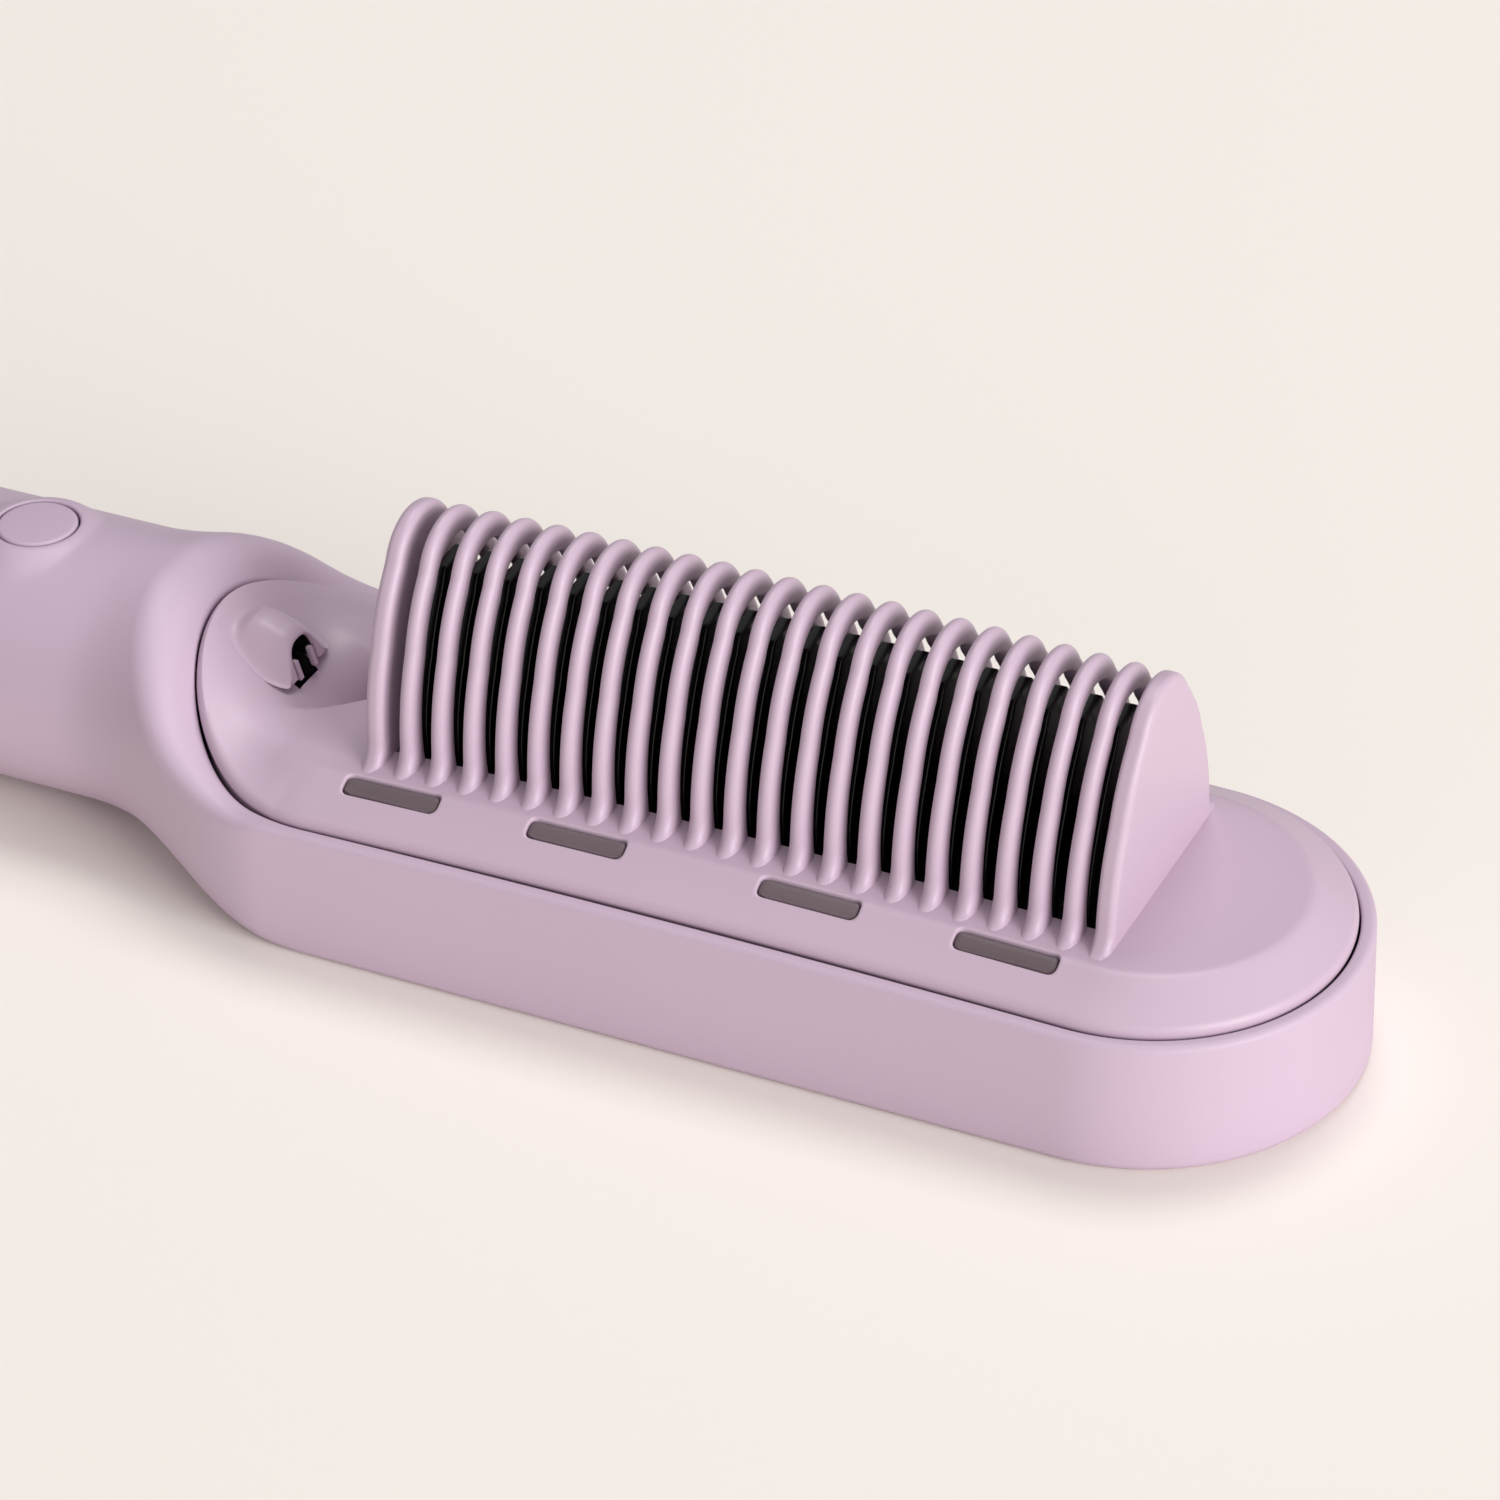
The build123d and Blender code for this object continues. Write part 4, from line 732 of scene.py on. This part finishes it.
def hood():
    """Soft hood over the ion outlet: it swells out of the ramp towards its mouth, and its height falls off to
    each side as (1 - t^3)^2.4. A round lip on a face that leans back runs into the mouth, with a small tab at
    each side of its foot, and a black tube leads in."""
    x = np.linspace(HOOD_BACK, HOOD_FRONT, 40)
    t = np.linspace(-1, 1, 91)
    ramp = deck_line(x)
    rise = np.maximum(HOOD_TOP - ramp, 0) * step(HOOD_BACK, 10.4, x)
    spread = HOOD_SPREAD * (0.6 + 0.4 * step(HOOD_BACK - 2, 13.5, x))
    plan_x, across = np.meshgrid(x, t, indexing="ij")
    top = deck_points(plan_x, across * spread[:, None])
    top[..., 2] += rise[:, None] * (1 - np.abs(t) ** 3) ** 2.4 + 0.02
    foot = float(ramp[-1]) - HOOD_SUNK
    high = float(rise[-1]) + HOOD_SUNK
    over = top[-1, :, 2] - foot
    full = np.maximum(top[-1, :, 2] - ramp[-1] - 0.02, 0) / rise[-1] * high
    front = HOOD_FRONT + LIP

    def leant(place, y, z):
        return np.column_stack([place + FACE_LEAN * (1 - z / high), y, foot + z])

    loops = [top[-1]]
    for turn in np.linspace(0, pi / 2, 9)[1:]:
        less = LIP * (1 - cos(turn))
        tall = over + (full - over) * sin(turn)
        flat = leant(0, t * (HOOD_SPREAD - less), tall * (1 - less / high))
        flat[:, 0] = HOOD_FRONT + (LIP + flat[:, 0]) * sin(turn)
        loops.append(flat)
    angle = t * pi / 2
    wide = np.sign(t) * np.abs(np.sin(angle)) ** 0.8
    tall = np.abs(np.cos(angle)) ** 0.55

    def mouth(place, more):
        return leant(place, (MOUTH_HALF + more) * wide, (MOUTH_RISE + more) * tall)

    outer = loops[-1]
    inner = mouth(front, MOUTH_EDGE)
    loops += [outer + share * (inner - outer) for share in (0.35, 0.7, 1)]
    for turn in np.linspace(0, pi / 2, 5)[1:]:
        loops.append(mouth(front - MOUTH_EDGE * (1 - cos(turn)), MOUTH_EDGE * (1 - sin(turn))))
    loops.append(mouth(front - 0.5, 0))
    sheets = [top, np.array(loops)]
    for side in (-1, 1):
        wide_tab = side * np.array([1.25, 1.25, 1.95, 1.95, 1.25])
        deep = front - 0.1 - np.array([0.5, 0, 0, 0.5, 0.5])
        rows = []
        for share, z in [(1, -0.5), (1, 1.6), (0.8, 1.7), (0, 1.7)]:
            y = side * 1.6 + share * (wide_tab - side * 1.6)
            rows.append(leant(deep, y, np.full(5, z)))
        sheets.append(np.array(rows))
    piece = made("outlet_hood", sheets, cover_lilac, "housing")
    tube = [mouth(place, 0.01) for place in (front - 0.45, 12.4, 9.5)]
    tube += [tube[-1] * (1, share, 1) for share in (0.5, 0)]
    needle = lathe(np.array([(0.9, 0), (0.9, 2.6), (0.5, 3.2), (0.12, 5.0), (0, 5.2)]), 0, 0, 32)
    needle = np.stack([needle[..., 2] + 9.4, needle[..., 0], needle[..., 1] + foot + 2.0], -1)
    lining = made("emitter_duct", [np.array(tube), needle], black_plastic, "housing")
    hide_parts("ion_emitter")


def frame_tabs():
    """Tabs of the heater frame in the cover's slots: round-cornered, level with the slope and a little below
    it. Each loop has its share of the width, what its corner loses and its depth below the deck."""
    turn = np.linspace(0, 2 * pi, 65) + 0.01
    corner = SLOT_CORNER - TAB_GAP
    steps = [
        (0, corner, 0.3),
        (1, corner, 0.3),
        (1, 0.2, 0.3),
        (1, 0.1, 0.34),
        (1, 0.03, 0.42),
        (1, 0, 0.52),
        (1, 0, 2.4),
    ]
    sheets = []
    for centre in SLOT_PLACES:
        for side in (-1, 1):
            loops = []
            for share, less, low in steps:
                r = corner - less
                x = centre + np.sign(np.cos(turn)) * (SLOT_LENGTH / 2 - SLOT_CORNER) + r * np.cos(turn)
                y = share * np.sign(np.sin(turn)) * (SLOT_WIDTH / 2 - SLOT_CORNER) + r * np.sin(turn)
                y = SLOT_Y + y
                loops.append(np.column_stack([x, side * y, deck_height(x, y) - low]))
            sheets.append(np.array(loops))
    piece = made("frame_tab_faces", sheets, tab_grey, "housing", close=True)


# Ribs, end plates and fins

def arc(a, b, c, count):
    """Points on the circle through a, b and c, from a to c."""
    a, b, c = (np.array(p, float) for p in (a, b, c))
    p, q = b - a, c - a
    cross = 2 * (p[0] * q[1] - p[1] * q[0])
    centre = a + np.array([q[1] * (p @ p) - p[1] * (q @ q), p[0] * (q @ q) - q[0] * (p @ p)]) / cross
    first, last = (np.arctan2(*(v - centre)[::-1]) for v in (a, c))
    turn = (last - first + pi) % (2 * pi) - pi
    t = first + turn * np.linspace(0, 1, count)
    return centre + np.hypot(*(a - centre)) * np.column_stack([np.cos(t), np.sin(t)])


def even(line, count):
    """The same line with evenly spaced points."""
    run = np.concatenate([[0], np.cumsum(np.linalg.norm(np.diff(line, axis=0), axis=1))])
    t = np.linspace(0, run[-1], count)
    return np.column_stack([np.interp(t, run, line[:, i]) for i in (0, 1)])


def bell(half, height, spots, count=16):
    """Half of the round-shouldered outline over the comb, from the foot's end to its top, in y and z: three
    arcs through shares of its half width and height, with evenly spaced points."""
    shares = ((0.933, 0.32), (0.79, 0.527), (0.642, 0.703), (0.448, 0.846))
    p = [(half, BELL_START)] + [(half * a, height * b) for a, b in shares]
    crown = arc(p[4], (0, height), (-p[4][0], p[4][1]), 2 * count - 1)[:count]
    return even(np.concatenate([arc(*p[0:3], count)[:-1], arc(*p[2:5], count)[:-1], crown]), spots)


def flare(count=10):
    """Outline of a rib's foot: out along the deck on an arc, from below the deck up to the bell."""
    curve = arc((RIB_FOOT, 0), (RIB_HALF + 0.7, 0.9), (RIB_HALF, BELL_START), count)
    return np.concatenate([[(RIB_FOOT + 0.15, RIB_SUNK)], curve[:-1]])


def stand(points, number):
    """Sets points of a rib or fin, drawn about its own foot, onto the deck and square to the split's arch."""
    x = RIB_FIRST + number * RIB_PITCH
    lean = (x - COMB_X) / SPLIT_ARCH
    return np.stack([
        x + points[..., 0] * cos(lean) + points[..., 2] * sin(lean),
        points[..., 1],
        deck_line(x) + points[..., 2] * cos(lean) - points[..., 0] * sin(lean),
    ], -1)


def arch():
    """One rib: a section, round outside and squarer inside, carried over the bell. Its foot widens along the
    deck to a blunt point. The section is a superellipse: powers of the cosine across and of the sine
    inwards."""
    foot = flare()
    within = np.column_stack([0 * foot[:, 0] + WINDOW, foot[:, 1]])
    outer = mirrored(np.concatenate([foot, bell(RIB_HALF, RIB_TOP, 44)]))
    inner = mirrored(np.concatenate([within, bell(WINDOW, RIB_INSIDE, 44)]))
    across = outer - inner
    length = np.linalg.norm(across, axis=1)[:, None]
    way = across / length
    turn = np.linspace(0, 2 * pi, 29)
    c, s = np.cos(turn), np.sin(turn)
    cap = np.minimum(1.35 + 0.9 * np.clip(length - 2.9, 0, 2), length * 0.6)
    reach = length - cap + cap * np.maximum(s, 0) - (length - cap) * np.maximum(-s, 0) ** 0.45
    up = np.maximum(outer[:, 1], 0)
    width = 0.9 + 0.2 * np.exp(-up / 12) + 0.1 * np.exp(-up / 1.3)
    x = width[:, None] * np.sign(c) * np.abs(c) ** np.where(s >= 0, 0.92, 0.4)
    return np.stack([x, inner[:, :1] + way[:, :1] * reach, inner[:, 1:] + way[:, 1:] * reach], -1)


def plate(half_line, thick, front, back):
    """Closed plate over the bell: its outline with a quarter round of its own radius at each face, and faces
    that run level to the middle plane. The line holds y and z from the foot to the top."""
    line = mirrored(half_line)
    along = np.gradient(line, axis=0)
    out = unit(np.column_stack([along[:, 1], -along[:, 0]]))
    columns = []
    for radius, side in ((back, -1), (front, 1)):
        rounds = []
        for turn in np.linspace(0, pi / 2, 9):
            x = side * (thick / 2 - radius + radius * sin(turn))
            rounds.append(np.column_stack([np.full(len(line), x), line - out * radius * (1 - cos(turn))]))
        half = rounds + [rounds[-1] * (1, share, 1) for share in (0.85, 0.6, 0.3, 0)]
        columns += half[::side]
    return np.stack(columns, 1)


def guard():
    """The ribs between two closed end plates, standing on the deck."""
    rib = arch()
    ribs = made("guard_ribs", [stand(rib, i) for i in range(1, RIB_COUNT - 1)],
                cover_lilac, "housing", close=True, sharp=50)
    line = np.concatenate([flare(), bell(RIB_HALF, RIB_TOP, 50)])
    for end, number, front, back in (("tip", RIB_COUNT - 1, 0.85, 0.6), ("root", 0, 0.9, 0.9)):
        sheet = stand(plate(line, PLATE_THICK, front, back), number)
        piece = made(f"guard_plate_{end}", [sheet], cover_lilac, "housing", close=True, sharp=50)


def heating_comb():
    """Fins with flat tops and bevelled corners under the ribs, on their base bar with its rims."""
    line = bell(FIN_HALF, FIN_BELL, 60)
    line[:, 0] *= 1 - FIN_TAPER * (line[:, 1] / FIN_BELL) ** 2
    line[:, 1] = np.minimum(line[:, 1], FIN_TOP)
    line = np.concatenate([[(FIN_HALF, FIN_FOOT - DECK_HEIGHT)], line])
    fin = plate(line, FIN_THICK, FIN_EDGE, FIN_EDGE)
    sheets = [stand(fin, i) for i in range(1, RIB_COUNT - 1)]
    rim = [(0, 13.0), (12.5, 13.0), (12.5, 14.4), (10.5, 14.4), (10.5, 17.3), (10.2, 17.6), (0, 17.6)]
    section = np.concatenate([rim, np.array(rim)[::-1] * (-1, 1)])
    bar = [np.column_stack([np.full(len(section), COMB_X + x), section]) for x in (-BAR_REACH, BAR_REACH)]
    ends = [np.stack([row, row * (1, 0, 0) + (0, 0, 15.0)]) for row in bar]
    sheets += [np.array(bar)] + ends
    fins = made("comb_fins", sheets, comb_black, "housing", close=True, sharp=50)
    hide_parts("heating_comb")


# Buttons

def buttons():
    """Round caps with a slightly crowned top and a soft edge, on a flange and stem."""
    soft = np.linspace(0, pi / 2, 7)
    crown = np.linspace(0, CAP_FLAT, 12)[:-1]
    high = GUIDE_BOTTOM - FLANGE_GAP
    low = high - FLANGE_THICK
    flange = [(CAP_FLAT + CAP_EDGE, high), (FLANGE_RADIUS, high), (FLANGE_RADIUS, low)]
    stem = [(STEM_RADIUS, low), (STEM_RADIUS, STEM_FOOT), (0, STEM_FOOT)]
    for name, x in BUTTON_PLACES.items():
        top = float(handle_sizes(x)[1]) + CAP_RISE
        edge_z = top - CAP_CROWN - CAP_EDGE + CAP_EDGE * np.cos(soft)
        edge = np.column_stack([CAP_FLAT + CAP_EDGE * np.sin(soft), edge_z])
        head = np.column_stack([crown, top - CAP_CROWN * (crown / CAP_FLAT) ** 2])
        body = lathe(np.concatenate([head, edge, flange, stem]), x, 0)
        piece = made(f"{name}_cap", [body], housing_lilac, f"{name}_key")
        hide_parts(f"{name}_button")


# Floor, light and camera

AIM = (0.07, 0, 0.02)     # what the lamps point at, in metres
FLOOR_REACH = 3.0         # half the floor's side, in metres
AZIMUTH = radians(27.019)
ELEVATION = radians(34.448)
ROLL = radians(-2.2)
DISTANCE = 605.209        # from the lens to the middle of the comb, along the view, mm
FRAME_PIXELS = 1500
PIXELS_PER_MM = 9.291     # at that distance
CENTRE_U = 783.743        # where the middle of the comb falls in the frame, in pixels
CENTRE_V = 781.23
SENSOR = 36               # width of the sensor, mm


def floor():
    """Pale floor, far wider than the brush."""
    mesh = bpy.data.meshes.new("floor")
    r = FLOOR_REACH
    mesh.from_pydata([(-r, -r, 0), (r, -r, 0), (r, r, 0), (-r, r, 0)], [], [(0, 1, 2, 3)])
    thing = bpy.data.objects.new("floor", mesh)
    bpy.context.scene.collection.objects.link(thing)
    material, tree, surface = new_material("cream_paper")
    diffuse = add(tree, "ShaderNodeBsdfDiffuse", Color=linear("faf3ec"))
    tree.links.new(diffuse.outputs[0], surface)
    mesh.materials.append(material)


def soft_box(name, place, size, power):
    """White square lamp at a place, turned to the aim."""
    lamp = bpy.data.lights.new(name, "AREA")
    lamp.shape = "SQUARE"
    lamp.size = size
    lamp.energy = power
    thing = bpy.data.objects.new(name, lamp)
    turn = (Vector(AIM) - place).to_track_quat("-Z", "Y").to_matrix().to_4x4()
    thing.matrix_world = Matrix.Translation(place) @ turn
    bpy.context.scene.collection.objects.link(thing)


def studio():
    """A broad lamp low beyond the tip, one high up from behind, a weak one on the camera's side and a pale
    surrounding. Each lamp has its azimuth, elevation, distance and size in metres, and power."""
    for name, azimuth, elevation, distance, size, power in (
            ("key", -20, 20, 4.0, 2.4, 150.0),
            ("top", 100, 70, 3.0, 1.3, 34.5),
            ("fill", -75, 15, 4.0, 2.4, 19.0)):
        a, e = radians(azimuth), radians(elevation)
        way = Vector((cos(e) * cos(a), cos(e) * sin(a), sin(e)))
        soft_box(name, Vector(AIM) + distance * way, size, power)
    world = bpy.data.worlds.new("studio")
    world.use_nodes = True
    background = world.node_tree.nodes["Background"]
    background.inputs["Color"].default_value = linear("ffffff")
    background.inputs["Strength"].default_value = 0.28
    bpy.context.scene.world = world
    bpy.context.scene.view_settings.view_transform = "Standard"


def photo_camera():
    """Camera at the photograph's angle, from its azimuth, elevation, roll and distance."""
    right = Vector((cos(AZIMUTH), sin(AZIMUTH), 0))
    back = Vector((sin(AZIMUTH) * cos(ELEVATION), -cos(AZIMUTH) * cos(ELEVATION), sin(ELEVATION)))
    up = back.cross(right)
    turned = right * cos(ROLL) + up * sin(ROLL)
    upper = up * cos(ROLL) - right * sin(ROLL)
    place = Vector((COMB_X, 0, DECK_HEIGHT)) - turned * (CENTRE_U - FRAME_PIXELS / 2) / PIXELS_PER_MM
    place += upper * (CENTRE_V - FRAME_PIXELS / 2) / PIXELS_PER_MM + back * DISTANCE
    camera = bpy.data.cameras.new("camera")
    camera.sensor_width = SENSOR
    camera.lens = SENSOR * PIXELS_PER_MM * DISTANCE / FRAME_PIXELS
    camera.clip_start = 0.01
    camera.clip_end = 10
    thing = bpy.data.objects.new("camera", camera)
    thing.matrix_world = Matrix((
        (turned.x, upper.x, back.x, place.x * MM),
        (turned.y, upper.y, back.y, place.y * MM),
        (turned.z, upper.z, back.z, place.z * MM),
        (0, 0, 0, 1),
    ))
    bpy.context.scene.collection.objects.link(thing)
    bpy.context.scene.camera = thing


housing()
cover()
hood()
frame_tabs()
guard()
heating_comb()
buttons()
floor()
studio()
photo_camera()
